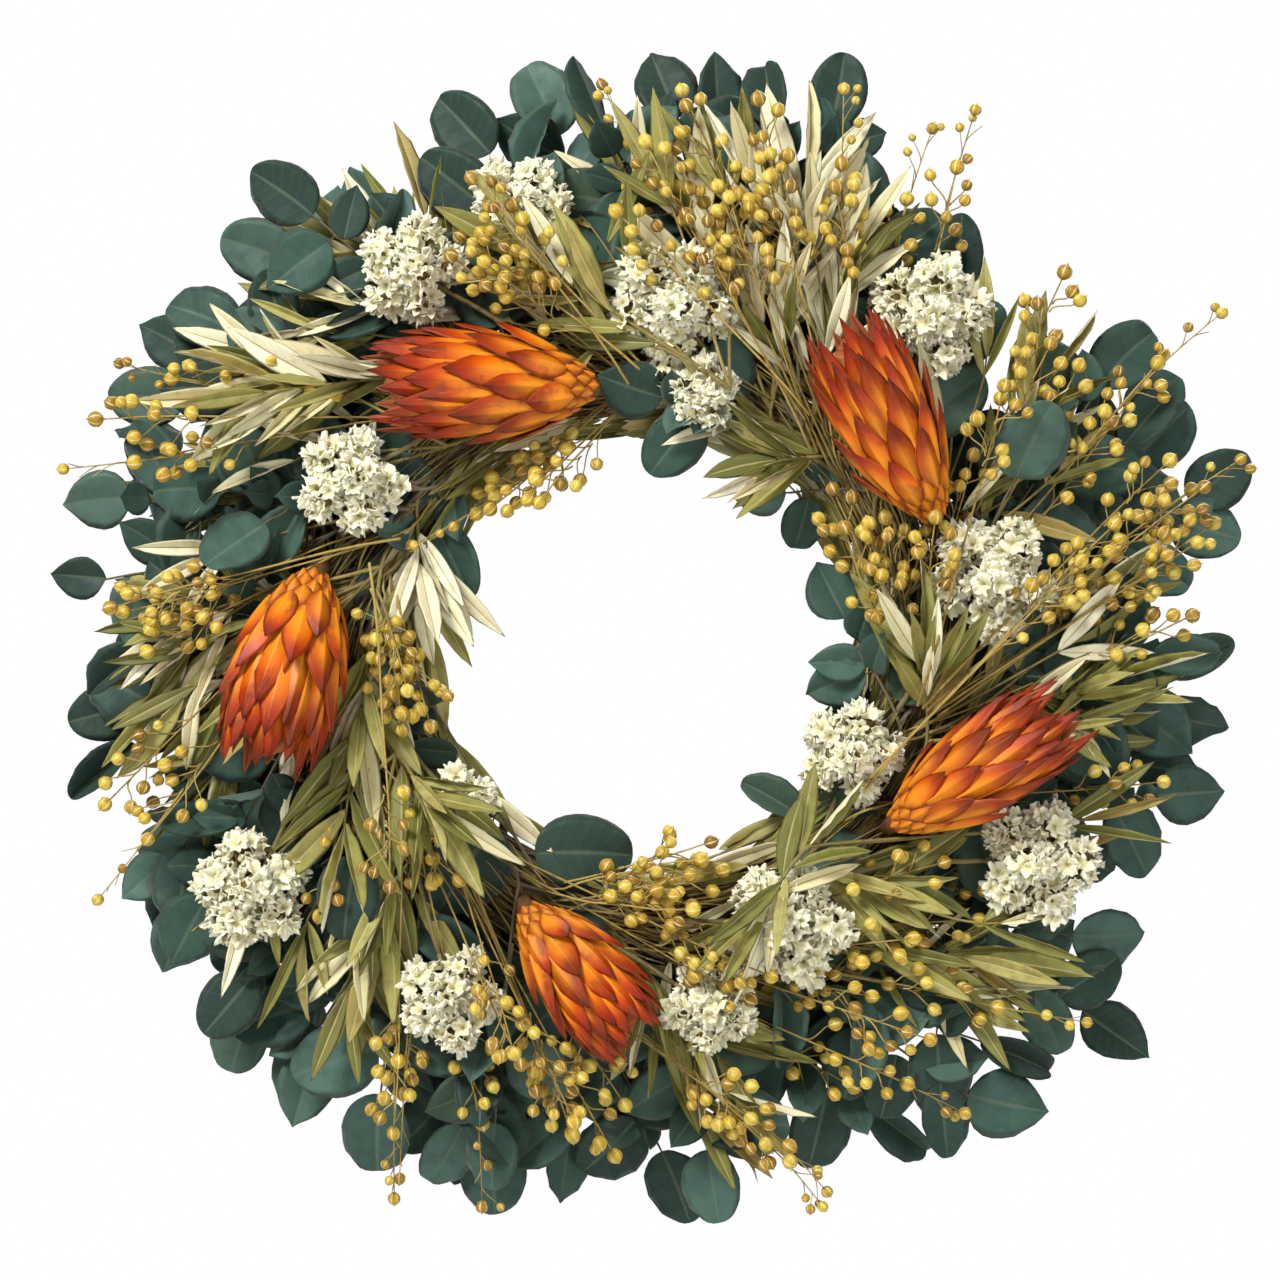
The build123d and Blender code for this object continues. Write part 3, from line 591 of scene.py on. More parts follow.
def olive_under_look():
    look = Look("olive_leaf_cream", 0.72, specular=0.2, sheen=0.2)
    look.shade = look.display_ramp(look.tint, (0.0, (206, 196, 146)), (0.4, (236, 230, 188)),
                                   (0.75, (246, 242, 210)), (1.0, (222, 208, 160)))
    look.lay_where(look.noise(140, 4), 0.5, 0.8, 0.45, (176, 158, 104))
    look.lay_where(look.aside(), 0.1, 0.02, 0.75, (150, 116, 66))
    look.lay(look.times(look.side_veins(11.0, 2.4), 0.14), (170, 150, 100))
    look.lay_where(look.aside(), 0.88, 1.0, 0.6, (160, 140, 84))
    look.lay_where(look.along, 0.94, 1.0, 0.5, (128, 92, 52))
    return look.done(look.noise(700, 4), 0.25 * MM, 0.5)


def stalk_look(name, dark, light, streak):
    """Dry stalks: streaked along their length, darker in some patches."""
    look = Look(name, 0.6)
    grain = look.fibres(14.0, 9.0, look.tint)
    mottle = look.maths("MULTIPLY_ADD", grain, 0.7, look.times(look.tint, 0.35))
    look.shade = look.display_ramp(mottle, (0.2, dark), (0.7, light))
    look.lay_where(look.noise(260, 2), 0.58, 0.7, 0.6, streak)
    return look.done(grain, 0.2 * MM, 0.6)


def pod_look():
    look = Look("flax_pod", 0.42, specular=0.4, coat=0.08)
    look.shade = look.display_ramp(look.tint, (0.0, (128, 94, 22)), (0.25, (184, 148, 34)),
                                   (0.55, (210, 178, 48)), (0.85, (224, 200, 78)), (1.0, (158, 118, 26)))
    turn = look.times(look.across, 5 * math.pi)
    lobe, seam = (look.maths("ABSOLUTE", look.maths(wave, turn)) for wave in ("COSINE", "SINE"))
    look.lay_where(lobe, 0.9, 1.0, 0.75, (244, 226, 160))
    look.lay_where(seam, 0.965, 1.0, 0.45, (150, 104, 40))
    look.lay_where(look.noise(330, 4), 0.45, 0.75, 0.5, (170, 116, 40))
    look.lay_where(look.along, 0.16, 0.05, 0.5, (120, 84, 40))
    look.lay_where(look.along, 0.82, 0.93, 0.75, (112, 74, 34))
    height = look.maths("MULTIPLY_ADD", look.noise(700, 3), 0.5, look.range(lobe, 0.85, 1.0))
    return look.done(height, 0.2 * MM, 0.5)


def floret_look():
    look = Look("statice_floret", 0.85, specular=0.15, sheen=0.1)
    inward = look.maths("ABSOLUTE", look.maths("SUBTRACT", look.along, 0.55))
    rim = look.maths("MULTIPLY_ADD", inward, -2.0, 1.0)
    pleat = look.streaks(look.times(look.across, 34.0), look.times(rim, 3.0), look.tint, 4, 0.7)
    look.shade = look.display_ramp(look.maths("MULTIPLY_ADD", pleat, 0.22, look.maths("SUBTRACT", rim, 0.1)),
                                   (0.12, (130, 108, 60)), (0.34, (204, 193, 138)), (0.56, (240, 235, 194)),
                                   (0.8, (253, 251, 228)))
    look.lay(look.times(look.tint, 0.22), (240, 226, 160))
    look.lay_where(look.noise(480, 3), 0.6, 0.78, 0.5, (178, 156, 100))
    return look.done(look.maths("MULTIPLY_ADD", pleat, 1.2, look.noise(900, 4)), 0.5 * MM, 0.8)


def statice_heart_look():
    look = Look("statice_calyx", 0.85, specular=0.15)
    look.shade = look.display_ramp(look.noise(300, 4), (0.3, (70, 52, 26)), (0.5, (112, 92, 52)),
                                   (0.72, (158, 142, 92)))
    return look.done(look.noise(600, 4), 0.8 * MM, 0.9)


def bract_look():
    """A protea's bract: orange, with a bright middle low down that is partly its own yellower colour and
    partly a painted highlight, dark towards its tip and sides, and a thin painted highlight along its rim.
    """
    look = Look("protea_bract", 0.45, specular=0.25, coat=0.05)
    fibre = look.fibres(3.0, 30.0, look.times(look.other, 40.0), 4, 0.6)
    blotch = look.noise(75, 4, 0.6)
    along = look.maths("ADD", look.along, look.maths("MULTIPLY_ADD", fibre, 0.24, -0.12))
    bright = look.display_ramp(along, (0.0, (172, 78, 10)), (0.25, (236, 136, 18)), (0.52, (222, 98, 6)),
                               (0.76, (166, 46, 4)), (0.92, (116, 24, 6)), (1.0, (58, 14, 6)))
    dull = look.display_ramp(along, (0.0, (104, 46, 14)), (0.45, (172, 78, 14)), (0.7, (132, 46, 8)),
                             (1.0, (62, 20, 10)))
    look.shade = look.mix(look.range(look.tint, 0.35, 1.0, 0.0, 0.8), bright, dull)
    look.lay_where(blotch, 0.5, 0.68, 0.75, (116, 46, 14))
    look.lay_where(fibre, 0.55, 0.8, 0.5, (250, 176, 70))
    # painted highlight down the bract's middle, low down, over its own yellower middle
    middle_highlight = look.times(look.range(look.aside(), 0.6, 0.05, 0.0, 0.6), look.range(look.along, 0.75, 0.4))
    look.lay(middle_highlight, (246, 154, 30))
    look.lay_where(look.aside(), 0.5, 0.92, 0.55, (156, 44, 8))
    # painted highlight: a thin pale line along the bract's rim, where light catches its edge
    look.lay_where(look.aside(), 0.94, 0.99, 0.65, (232, 128, 72))
    look.lay_where(look.noise(520, 2), 0.7, 0.76, 0.7, (74, 32, 20))
    height = look.maths("MULTIPLY_ADD", look.noise(600, 3), 0.35, fibre)
    return look.done(height, 0.35 * MM, 0.55, look.range(blotch, 0.35, 0.7, 0.34, 0.55))


def bract_inner_look():
    look = Look("protea_bract_inside", 0.6, specular=0.25)
    fibre = look.fibres(4.0, 34.0, look.other, 4)
    look.shade = look.display_ramp(fibre, (0.3, (116, 50, 28)), (0.55, (170, 92, 52)), (0.8, (204, 142, 96)))
    return look.done(fibre, 0.3 * MM, 0.5)


def bark_look(name, dark, middle, light):
    look = Look(name, 0.82, specular=0.18)
    fibre = look.fibres(120.0, 16.0, look.times(look.tint, 30.0), 5, 0.65)
    look.shade = look.display_ramp(fibre, (0.3, dark), (0.52, middle), (0.72, light))
    look.lay_where(look.noise(60, 3), 0.5, 0.75, 0.6, dark)
    return look.done(look.maths("MULTIPLY_ADD", look.noise(350, 3), 0.4, fibre), 1.0 * MM, 0.9)


def wire_look(name, base, worn, metallic, roughness):
    look = Look(name, roughness, specular=0.5, metallic=metallic)
    patch = look.noise(240, 4)
    look.shade = colour(*base)
    look.lay_where(patch, 0.45, 0.7, 1.0, worn)
    return look.done(look.noise(1500, 3), 0.08 * MM, 0.5,
                     look.range(patch, 0.3, 0.7, roughness - 0.1, roughness + 0.15))


# ---------------------------------------------------------------- what grows from each CAD solid
ROD_ACROSS = 3.2 * MM      # a solid narrower than this is a bare stem
BUNDLE_TOP = 20.5 * MM     # how far from the ring's centreline its stems lie
STEM_BACK = 34 * MM        # how far a stem runs back along the ring
AT_RING = 2.2 * BUNDLE_TOP     # a stem that starts further out than this doesn't run back
STEM, STALK, CORE = 2, 1, 3    # places in a kind's list of looks: stems, flax stalks, a protea's core
LOW_Y = RING_C[1] + 14 * MM    # nothing thin lies further back than this


def far_ends(points):
    """The two ends of a long solid, and its axes and extents."""
    centre, rows, extent = axes_of(points)
    return [centre + rows[0] * extent[0] / 2 * s for s in (-1, 1)], rows, extent


def sprig_parts(node):
    """A node's stems as (base, tip) and its leaves as (foot, tip, face normal, width)."""
    rods, blades, leaves = [], [], []
    for points in solids(node):
        ends, rows, extent = far_ends(points)
        if extent[1] < ROD_ACROSS:
            rods.append(sorted(ends, key=ring_distance))
        else:
            blades.append((points, rows[2], extent[1]))
    for points, normal, width in blades:
        foot = points[nearest_to_rods(points, rods)]
        tip = points[np.argmax(((points - foot) ** 2).sum(axis=1))]
        leaves.append((foot, tip, normal if normal @ FRONT > 0 else -normal, width))
    return rods, leaves


def nearest_to_rods(points, rods):
    """Index of the point that is nearest to any of the stems."""
    best = np.full(len(points), np.inf)
    for a, b in rods:
        run = b - a
        t = np.clip((points - a) @ run / (run @ run), 0, 1)
        best = np.minimum(best, np.linalg.norm(points - a - t[:, None] * run, axis=1))
    return int(np.argmin(best))


def onto_stem(point, rods):
    """Nearest point of any stem, and that stem's direction."""
    found = []
    for a, b in rods:
        run = b - a
        at = a + min(max(float((point - a) @ run / (run @ run)), 0.02), 0.995) * run
        found.append((norm(point - at), at, unit(run)))
    return min(found, key=lambda row: row[0])[1:]


def grow_stem(batch, base, tip, rng, sag, radii, slot=STEM, sides=7):
    """A stem comes along the ring from under the bindings, then follows its CAD stem to the tip."""
    centre, along = ring_near(base)
    out = base - centre
    out -= along * float(out @ along)
    lead = np.empty((0, 3))
    if norm(out) <= AT_RING:
        behind, _ = ring_near(base - along * STEM_BACK * (0.7 + 0.5 * rng.random()))
        start = behind + unit(out) * BUNDLE_TOP * 0.92
        before = base - unit(tip - base) * STEM_BACK * 0.35
        lead = bezier(start, start + along * STEM_BACK * 0.4, before, base, 7)[:-1]
    run = np.linspace(0, 1, 9)[:, None]
    wander = across_of(unit(tip - base), unit(rng.standard_normal(3)))
    line = base + (tip - base) * run
    line += wander * sag * (np.sin(run * math.pi) + 0.3 * np.sin(run * 3 * math.pi))
    tube(batch, np.concatenate([lead, line]), radii, slot, rng, sides)


def grow_straws(batch, rods, rng, count, slot, radius=0.62 * MM):
    """Cut ends of the bunch: thin stems that lie along the ring's face, then lift off it towards the tip."""
    t = np.linspace(0, 1, 11)
    for base, _ in rods:
        reach, bearing = from_centre(base)
        lean = math.atan2(reach - RING_R, RING_C[1] - base[1])
        for _ in range(count):
            start = bearing - rng.uniform(0.25, 0.62)
            arc = rng.uniform(0.5, 0.95)
            around = max(lean * 0.6 + rng.normal(0, 0.6), -1.2)
            height = BUNDLE_TOP + rng.uniform(-0.5, 4.0) * MM
            lift, veer = rng.uniform(2, 24 + 14 * min(around, 0)) * MM, rng.uniform(0.0, 0.7)
            line = [ring_point(start + arc * s, around + veer * s * s, height + lift * s * s) for s in t]
            line = np.array(line) + rng.normal(0, 0.35 * MM, (len(t), 3))
            line[:, 1] = np.minimum(line[:, 1], LOW_Y)
            thick = radius * rng.uniform(0.6, 1.3)
            tube(batch, line, (thick, thick / 2), slot, rng, 5)


OUTER_R, LONG_SPRIG = 165 * MM, 45 * MM     # only sprigs that reach so far out and are so long branch


def grow_twigs(batch, rods, rng, grow_leaf, count):
    """Side twigs of the sprigs, a little behind them, each with its own row of leaves."""
    for base, tip in rods:
        reach = norm(tip - base)
        if from_centre(tip)[0] < OUTER_R or reach < LONG_SPRIG:
            continue
        run = unit(tip - base)
        for k in range(count):
            way = turned(run, FRONT, (1 if k % 2 else -1) * rng.uniform(0.14, 0.4))
            way = unit(way - FRONT * rng.uniform(0.02, 0.3))
            start, length = base + run * reach * rng.uniform(0.05, 0.3), reach * rng.uniform(0.62, 0.9)
            end = start + way * length
            if end[1] > LOW_Y:
                end[1] = LOW_Y
                way = unit(end - start)
            line = bezier(start, start + run * length * 0.3, end - way * length * 0.3, end, 8)
            tube(batch, line, (1.0 * MM, 0.45 * MM), STEM, rng)
            leaves = rng.integers(5, 8)
            for j in range(leaves):
                at = start + way * length * (0.35 + 0.65 * (j + 0.6) / leaves)
                side = across_of(way, UP if abs(way[2]) < 0.8 else FRONT)
                side = turned(side, way, math.pi * j + rng.normal(0, 0.5))
                side = unit(side - FRONT * float(side @ FRONT) * 0.6)
                grow_leaf(at, between(way, side, 0.25 if j == leaves - 1 else rng.uniform(0.7, 1.2)))


def grow_side_twigs(batch, base, rng, grow_leaf, count, radius, front):
    """Thin twigs from a sprig's foot to a radius of the wreath. Each ends in three leaves."""
    for _ in range(count):
        out = outward(from_centre(base)[1] + rng.uniform(0.1, 0.55))
        at = RING_C + out * (radius + rng.uniform(-12, 10) * MM) + FRONT * rng.uniform(*front)
        way = unit(out + np.cross(FRONT, out) * rng.uniform(0.3, 1.3) + FRONT * rng.uniform(-0.15, 0.2))
        line = bezier(base, base + (at - base) * 0.4, at - way * 20 * MM, at, 8)
        tube(batch, line, (1.0 * MM, 0.5 * MM), STEM, rng)
        grow_leaf(at - way * 2 * MM, way)
        for side in (-1, 1):
            grow_leaf(line[6], unit(way + np.cross(FRONT, way) * side * rng.uniform(0.3, 0.6)))


def facing_out(way, rng, spread):
    """A face normal at right angles to way, towards the front but for a random spread."""
    return unit(across_of(way, FRONT) + rng.normal(0, spread, 3))


def grow_small_leaves(batch, base, tip, rng, length, width_share, lean, count):
    """Extra round leaves near a sprig's tip, which stand up from the stem or lie under it."""
    run, reach = unit(tip - base), norm(tip - base)
    if reach < 35 * MM:
        return
    for k in range(count):
        at = base + run * reach * (0.5 + 0.46 * (k + rng.random()) / count)
        side = turned(across_of(run, FRONT), run, rng.uniform(-1.9, 1.9))
        way = unit(run * math.cos(lean) + side * math.sin(lean) * (0.5 + 0.6 * rng.random()))
        grown = length * rng.uniform(0.75, 1.15)
        leaf(batch, at + way * 0.6 * MM, way, facing_out(way, rng, 0.3), grown, grown * width_share, OVATE,
             (0, 1), rng, bend=rng.uniform(-0.4, 0.5), fold=rng.uniform(0.05, 0.5), twist=rng.normal(0, 0.3))


def round_outline(rng):
    return ROUND if rng.random() < 0.6 else OVATE


LOW_TWIGS = ((2, 150 * MM), (2, 176 * MM))      # how many twigs lie low behind the rest, and where they end
LOW_LAYER = (-12 * MM, 2 * MM)                  # how far in front of the ring's centre they end


def grow_eucalyptus(batch, name, rng, stamps):
    rods, leaves = sprig_parts(name)
    for base, tip in rods:
        grow_stem(batch, base, tip, rng, 1.2 * MM, (1.25 * MM, 0.5 * MM))
    for foot, end, normal, width in leaves:
        at, stem = onto_stem(foot, rods)
        way, whole = unit(end - at), norm(end - at)
        blade_from = at + (end - at) * 0.1
        stalk = bezier(at, at + stem * 2 * MM, blade_from - way * 2 * MM, blade_from + way * 1.5 * MM, 5)
        tube(batch, stalk, np.array([0.6, 0.55, 0.5, 0.45, 0.3]) * MM, STEM, rng, 5)
        fold = rng.uniform(0.05, 0.32) if rng.random() < 0.8 else rng.uniform(0.6, 1.1)
        leaf(batch, blade_from, way, turned(normal, way, rng.normal(0, 0.16)), whole * 0.92,
             width * rng.uniform(0.9, 1.04), round_outline(rng), (0, 1), rng, bend=rng.uniform(-0.35, 0.5),
             swerve=rng.normal(0, 0.12), fold=fold, twist=rng.normal(0, 0.22), wave=0.03)
    for base, tip in rods:
        grow_small_leaves(batch, base, tip, rng, length=26 * MM, width_share=0.74, lean=1.15, count=4)

    def twig_leaf(at, way):
        grown = rng.uniform(27, 42) * MM
        leaf(batch, at + way * 1.5 * MM, way, facing_out(way, rng, 0.28), grown,
             grown * rng.uniform(0.68, 0.86), round_outline(rng), (0, 1), rng, bend=rng.uniform(-0.4, 0.5),
             swerve=rng.normal(0, 0.12), fold=rng.uniform(0.05, 0.45), twist=rng.normal(0, 0.25), wave=0.03)
    grow_twigs(batch, rods, rng, twig_leaf, count=1)
    for base, _ in rods:
        for count, radius in LOW_TWIGS:
            grow_side_twigs(batch, base, rng, twig_leaf, count, radius, LOW_LAYER)
    grow_straws(batch, rods, rng, 5, STEM)
    batch.press()


CREAM_OLIVES = ("olive_03", "olive_04", "olive_06")     # these turn the pale side of their leaves outward
INNER_LEAVES = 5        # leaves each sprig has low down, over the ring's inner face
RIM_TWIGS, RIM_R = 2, 212 * MM          # twigs each sprig sends out to the rim, and where they end
RIM_LAYER = (12 * MM, 40 * MM)          # how far in front of the ring's centre they end
MORE_CREAM, MORE_GREEN = 15, 8          # leaves along a sprig between the CAD ones


def grow_olive(batch, name, rng, stamps):
    rods, leaves = sprig_parts(name)
    cream = name in CREAM_OLIVES

    def sides_up(cream_share):
        return (1, 0) if rng.random() < cream_share else (0, 1)

    def narrow_leaf(at, way):
        slots = sides_up(0.8 if cream else 0.2)
        grown = rng.uniform(36, 58) * MM
        leaf(batch, at + way * 0.5 * MM, way, facing_out(way, rng, 0.35), grown,
             grown * rng.uniform(0.16, 0.23), LANCE, slots, rng, bend=rng.uniform(-0.4, 0.5),
             fold=rng.uniform(0.15, 1.0), twist=rng.normal(0, 0.4), wave=0.05)
    for base, tip in rods:
        grow_stem(batch, base, tip, rng, 1.5 * MM, (1.3 * MM, 0.55 * MM))
    for foot, end, normal, width in leaves:
        at, _ = onto_stem(foot, rods)
        way = unit(end - at)
        slots = sides_up(0.8 if cream else 0.12)
        fold = rng.uniform(0.1, 0.5) if rng.random() < 0.6 else rng.uniform(0.7, 1.2)
        leaf(batch, at + way * 0.5 * MM, way, turned(normal, way, rng.normal(0, 0.3)), norm(end - at),
             width * rng.uniform(0.95, 1.15), LANCE, slots, rng, bend=rng.uniform(-0.45, 0.55),
             swerve=rng.normal(0, 0.15), fold=fold, twist=rng.normal(0, 0.45), wave=0.05)
    for base, tip in rods:
        run, reach = unit(tip - base), norm(tip - base)
        more = MORE_CREAM if cream else MORE_GREEN
        for k in range(more):
            at = base + run * reach * (0.32 + 0.66 * (k + rng.random()) / more)
            side = turned(across_of(run, FRONT), run, rng.uniform(-2.1, 2.1))
            narrow_leaf(at, between(run, side, rng.uniform(0.3, 0.75)))
    grow_twigs(batch, rods, rng, narrow_leaf, count=2)
    for base, _ in rods:
        grow_side_twigs(batch, base, rng, narrow_leaf, RIM_TWIGS, RIM_R, RIM_LAYER)
    grow_straws(batch, rods, rng, 8, STEM, 0.75 * MM)
    for base, _ in rods:
        for _ in range(INNER_LEAVES):
            at = ring_point(from_centre(base)[1] + rng.uniform(-0.3, 0.3), rng.uniform(-1.3, -0.3),
                            BUNDLE_TOP + rng.uniform(0, 5) * MM)
            centre, along = ring_near(at)
            narrow_leaf(at, unit(along + unit(at - centre) * rng.uniform(0.0, 0.35)))
    batch.press()


# the flax stalk's CAD measures: how far its tip pod ends past the stalk, and where its side pods stand
POD_R = 3.7 * MM
POD_PAST = 1.7 * POD_R
FIRST_POD, POD_STEP, CAD_SIDE_PODS = 4 * MM, 11 * MM, 3
MORE_PODS = 5           # side pods that each stalk has besides its CAD ones
WISPS = 3               # stalks of each bunch that send a thin one out beyond the rim
WITHIN = 3 * MM         # the wisps end at least this far inside the CAD's box


def flax_parts(points):
    """Base, direction, stalk length, and the CAD side pods' middles of one stalk."""
    ends, rows, _ = far_ends(points)
    spread = [int(((points - e) @ rows[0] * -s < 8 * MM).sum()) for e, s in zip(ends, (-1, 1))]
    near, far = ends if spread[1] > spread[0] else ends[::-1]
    low = (points - near) @ unit(far - near)
    base = points[low < low.min() + 1.2 * MM].mean(axis=0)
    top = (points - far) @ unit(near - far)
    cap = points[top < top.min() + 5 * MM].mean(axis=0)
    run = unit(cap - base)
    along = (points - base) @ run
    away = np.linalg.norm(points - base - along[:, None] * run, axis=1)
    length = float(along.max()) - POD_PAST
    pods = []
    for k in range(CAD_SIDE_PODS):
        near_pod = (np.abs(along - (length - FIRST_POD - POD_STEP * k)) < 3.2 * MM) & (away > 3 * MM)
        if near_pod.sum() > 6:
            pods.append(points[near_pod].mean(axis=0))
    return base, run, length, pods


def put_pod(batch, stamps, at, way, size, rng):
    tint = rng.random()
    stamps["pod"].put(batch, at, way, size, rng, tint, rng.uniform(0.94, 1.06))
    stamps["calyx"].put(batch, at, way, size, rng, tint)


def grow_wisp(batch, stamps, base, tip, rng):
    """A long thin side stalk that leaves the spray near its tip and ends beyond it in a few small pods."""
    run = unit(tip - base)
    start = tip - run * 25 * MM
    way = unit(run + unit((tip - RING_C) * [1, 0, 1]) * rng.uniform(0.1, 0.6) + rng.normal(0, 0.1, 3))
    end = tip + way * rng.uniform(26, 44) * MM
    if (end < np.array(cad_box[0]) + WITHIN).any() or (end > np.array(cad_box[1]) - WITHIN).any():
        return
    line = bezier(start, start + run * 20 * MM, end - way * 20 * MM, end, 9)
    tube(batch, line, (0.45 * MM, 0.24 * MM), STALK, rng, 4)
    put_pod(batch, stamps, end + way * POD_R * 0.6, way, POD_R * rng.uniform(0.7, 0.85), rng)
    for fork in line[4:8]:
        side = turned(across_of(way, FRONT), way, rng.uniform(-math.pi, math.pi))
        twig = unit(way + side * rng.uniform(0.4, 0.9))
        foot = fork + twig * rng.uniform(5, 13) * MM
        line = bezier(fork, fork + way * 3 * MM, foot - twig * 3 * MM, foot, 5)
        tube(batch, line, (0.3 * MM, 0.2 * MM), STALK, rng, 4)
        if rng.random() < 0.6:
            put_pod(batch, stamps, foot + twig * POD_R * 0.5, twig, POD_R * rng.uniform(0.5, 0.75), rng)


def grow_flax(batch, name, rng, stamps):
    stalks = [flax_parts(points) for points in solids(name)]
    outermost = sorted(stalks, key=lambda stalk: -from_centre(stalk[0] + stalk[1] * stalk[2])[0])
    for base, run, length, _ in outermost[:WISPS]:
        grow_wisp(batch, stamps, base, base + run * length, rng)
    for base, run, length, pods in stalks:
        tip = base + run * length
        grow_stem(batch, base, tip, rng, 2.0 * MM, (0.75 * MM, 0.4 * MM), STALK, 5)
        put_pod(batch, stamps, tip + run * POD_R * 0.8, turned(run, across_of(run, UP), rng.normal(0, 0.2)),
                POD_R * rng.uniform(0.9, 1.02), rng)
        for k in range(MORE_PODS):
            back = FIRST_POD + POD_STEP * (k * 0.75 + 0.4 * rng.random())
            side = turned(across_of(run, FRONT), run, rng.uniform(-2.4, 2.4))
            pods.append(tip - run * back + side * rng.uniform(8, 14) * MM)
        grow_straws(batch, [(base, tip)], rng, 3, STALK, 0.5 * MM)
        for at in pods:
            fork = base + run * max(float((at - base) @ run) - rng.uniform(9, 16) * MM, length * 0.3)
            size = POD_R * rng.uniform(0.74, 0.98)
            way = unit(unit(at - fork) + run * 0.5 + rng.normal(0, 0.12, 3))
            foot = at - way * size * 0.95
            bow = bezier(fork, fork + run * 5 * MM, foot - way * 3 * MM, foot, 6)
            tube(batch, bow, (0.42 * MM, 0.3 * MM), STALK, rng, 4)
            put_pod(batch, stamps, at, way, size, rng)
    batch.press()


# a statice head's clusters, in shares of its diameter: past the middle, aside, up, fork on the stem, radius
CLUSTERS = (
    (0.33, 0.0, 0.0, -0.20, 0.18),
    (0.10, 0.314, -0.02, -0.12, 0.18), (0.10, -0.314, -0.02, -0.12, 0.18),
    (-0.267, 0.23, 0.03, -0.45, 0.165), (-0.267, -0.23, 0.03, -0.45, 0.165),
    (-0.02, 0.0, 0.24, -0.25, 0.17),
)
HEAD_WIDTH, HEAD_PAST = 0.988, 0.51     # its width and how far it ends past its middle, in the same shares
USUAL_BALL = 9 * MM                     # a cluster's radius that carries 17 florets besides the first five


def statice_parts(points):
    """Base, the three axes, the distance to the head's middle, and the head's diameter."""
    ends, _, _ = far_ends(points)
    base_end = min(ends, key=lambda e: (np.linalg.norm(points - e, axis=1) < 14 * MM).sum())
    way = unit((ends[0] + ends[1]) / 2 - base_end)
    low = (points - base_end) @ way
    base = points[low < low.min() + 1.0 * MM].mean(axis=0)
    for _ in range(4):
        along = (points - base) @ way
        way = unit(points[along > along.max() - 2.5 * MM].mean(axis=0) - base)
    along = (points - base) @ way
    off = points - base - along[:, None] * way
    _, _, cross = np.linalg.svd(off, full_matrices=False)
    side = across_of(way, cross[0])
    diameter = float(np.ptp(off @ side)) / HEAD_WIDTH
    up = np.cross(way, side)
    up = up if up @ FRONT > 0 else -up
    return base, way, side, up, float(along.max()) - HEAD_PAST * diameter, diameter


def grow_statice(batch, name, rng, stamps):
    florets = stamps["florets"]
    for points in solids(name):
        base, way, side, up, run, diameter = statice_parts(points)
        middle = base + way * run
        fork = base + way * (run - 0.5 * diameter)
        grow_stem(batch, base, fork, rng, 1.0 * MM, (1.5 * MM, 1.2 * MM))
        tube(batch, [fork, base + way * (run + 0.2 * diameter)], (1.2 * MM, 0.8 * MM), STEM, rng)
        for ahead, aside, lift, start, radius in CLUSTERS:
            centre = middle + diameter * (way * ahead + side * aside + up * lift)
            ball = radius * diameter
            root = base + way * (run + start * diameter)
            branch = bezier(root, root + way * 3 * MM, centre - (centre - root) * 0.3, centre, 6)
            tube(batch, branch, (0.95 * MM, 0.7 * MM), STEM, rng, 5)
            stamps["knob"].put(batch, centre, up, ball * 0.74, rng)
            pole = unit(up * 1.0 + unit(centre - middle + up * 1e-4) * 0.55)
            count = int(17 * (ball / USUAL_BALL) ** 1.7) + 5
            a = across_of(pole, way)
            b = np.cross(pole, a)
            for k in range(count):
                tilt = math.acos(1 - 1.5 * (k + 0.5) / count)
                out = between(pole, spun(a, b, k * GOLDEN + 0.3 * rng.random()), tilt)
                size = rng.uniform(3.6, 5.6) * MM
                at = centre + out * (ball * rng.uniform(0.8, 1.16) - size * 0.25) + rng.normal(0, MM, 3)
                floret, way_out = florets[rng.integers(len(florets))], unit(out + rng.normal(0, 0.42, 3))
                floret.put(batch, at, way_out, size, rng, squash=rng.uniform(0.9, 1.3))
    batch.press()


# the protea head's CAD measures
HEAD_TIP = 0.984            # where its foremost bract ends, as a share of its length
BRACT_PROUD = 0.8 * MM      # how far the bracts stand out of its profile
STEM_END = 8 * MM           # the CAD stem's foot is a disc within this much of its end
BASE_SCALES, BRACTS = 26, 54
STEM_RADII = np.array([3.4, 3.5, 3.5, 3.6, 4.0, 4.8, 6.0, 7.0]) * MM      # it flares where it meets the head


def head_radius(t, width):
    """Radius of the head at a share of its length: a goblet whose bracts stay a little open at the tip."""
    return width / 2 * (0.28 + 0.72 * math.sin(math.pi * (0.12 + 0.64 * t)))


def protea_parts(points):
    """Foot of the head, its axis, length and width, and where its stem starts."""
    centre, rows, _ = axes_of(points)
    way = rows[0]
    along = (points - centre) @ way
    if (along < along.min() + STEM_END).sum() > (along > along.max() - STEM_END).sum():
        way = -way
    for _ in range(4):
        along = (points - centre) @ way
        share = (along - along.min()) / np.ptp(along)
        across = [across_of(way, UP), np.cross(way, across_of(way, UP))]
        rings = []
        for low, high in ((0.42, 0.6), (0.8, 0.97)):
            near = (share > low) & (share < high)
            sides = [(points[near] - centre) @ side for side in across]
            middle = sum(side * (v.max() + v.min()) / 2 for side, v in zip(across, sides))
            rings.append(centre + way * along[near].mean() + middle)
        way, centre = unit(rings[1] - rings[0]), rings[0]
    along = (points - centre) @ way
    away = np.linalg.norm(points - centre - along[:, None] * way, axis=1)
    width = 2 * (float(np.quantile(away[along > along.max() - 0.6 * np.ptp(along)], 0.99)) - BRACT_PROUD)
    foot = float(along[along > along.min() + STEM_END].min()) + 1 * MM
    length = (float(along.max()) - foot) / HEAD_TIP
    return centre + way * foot, way, length, width, points[along < along.min() + STEM_END].mean(axis=0)


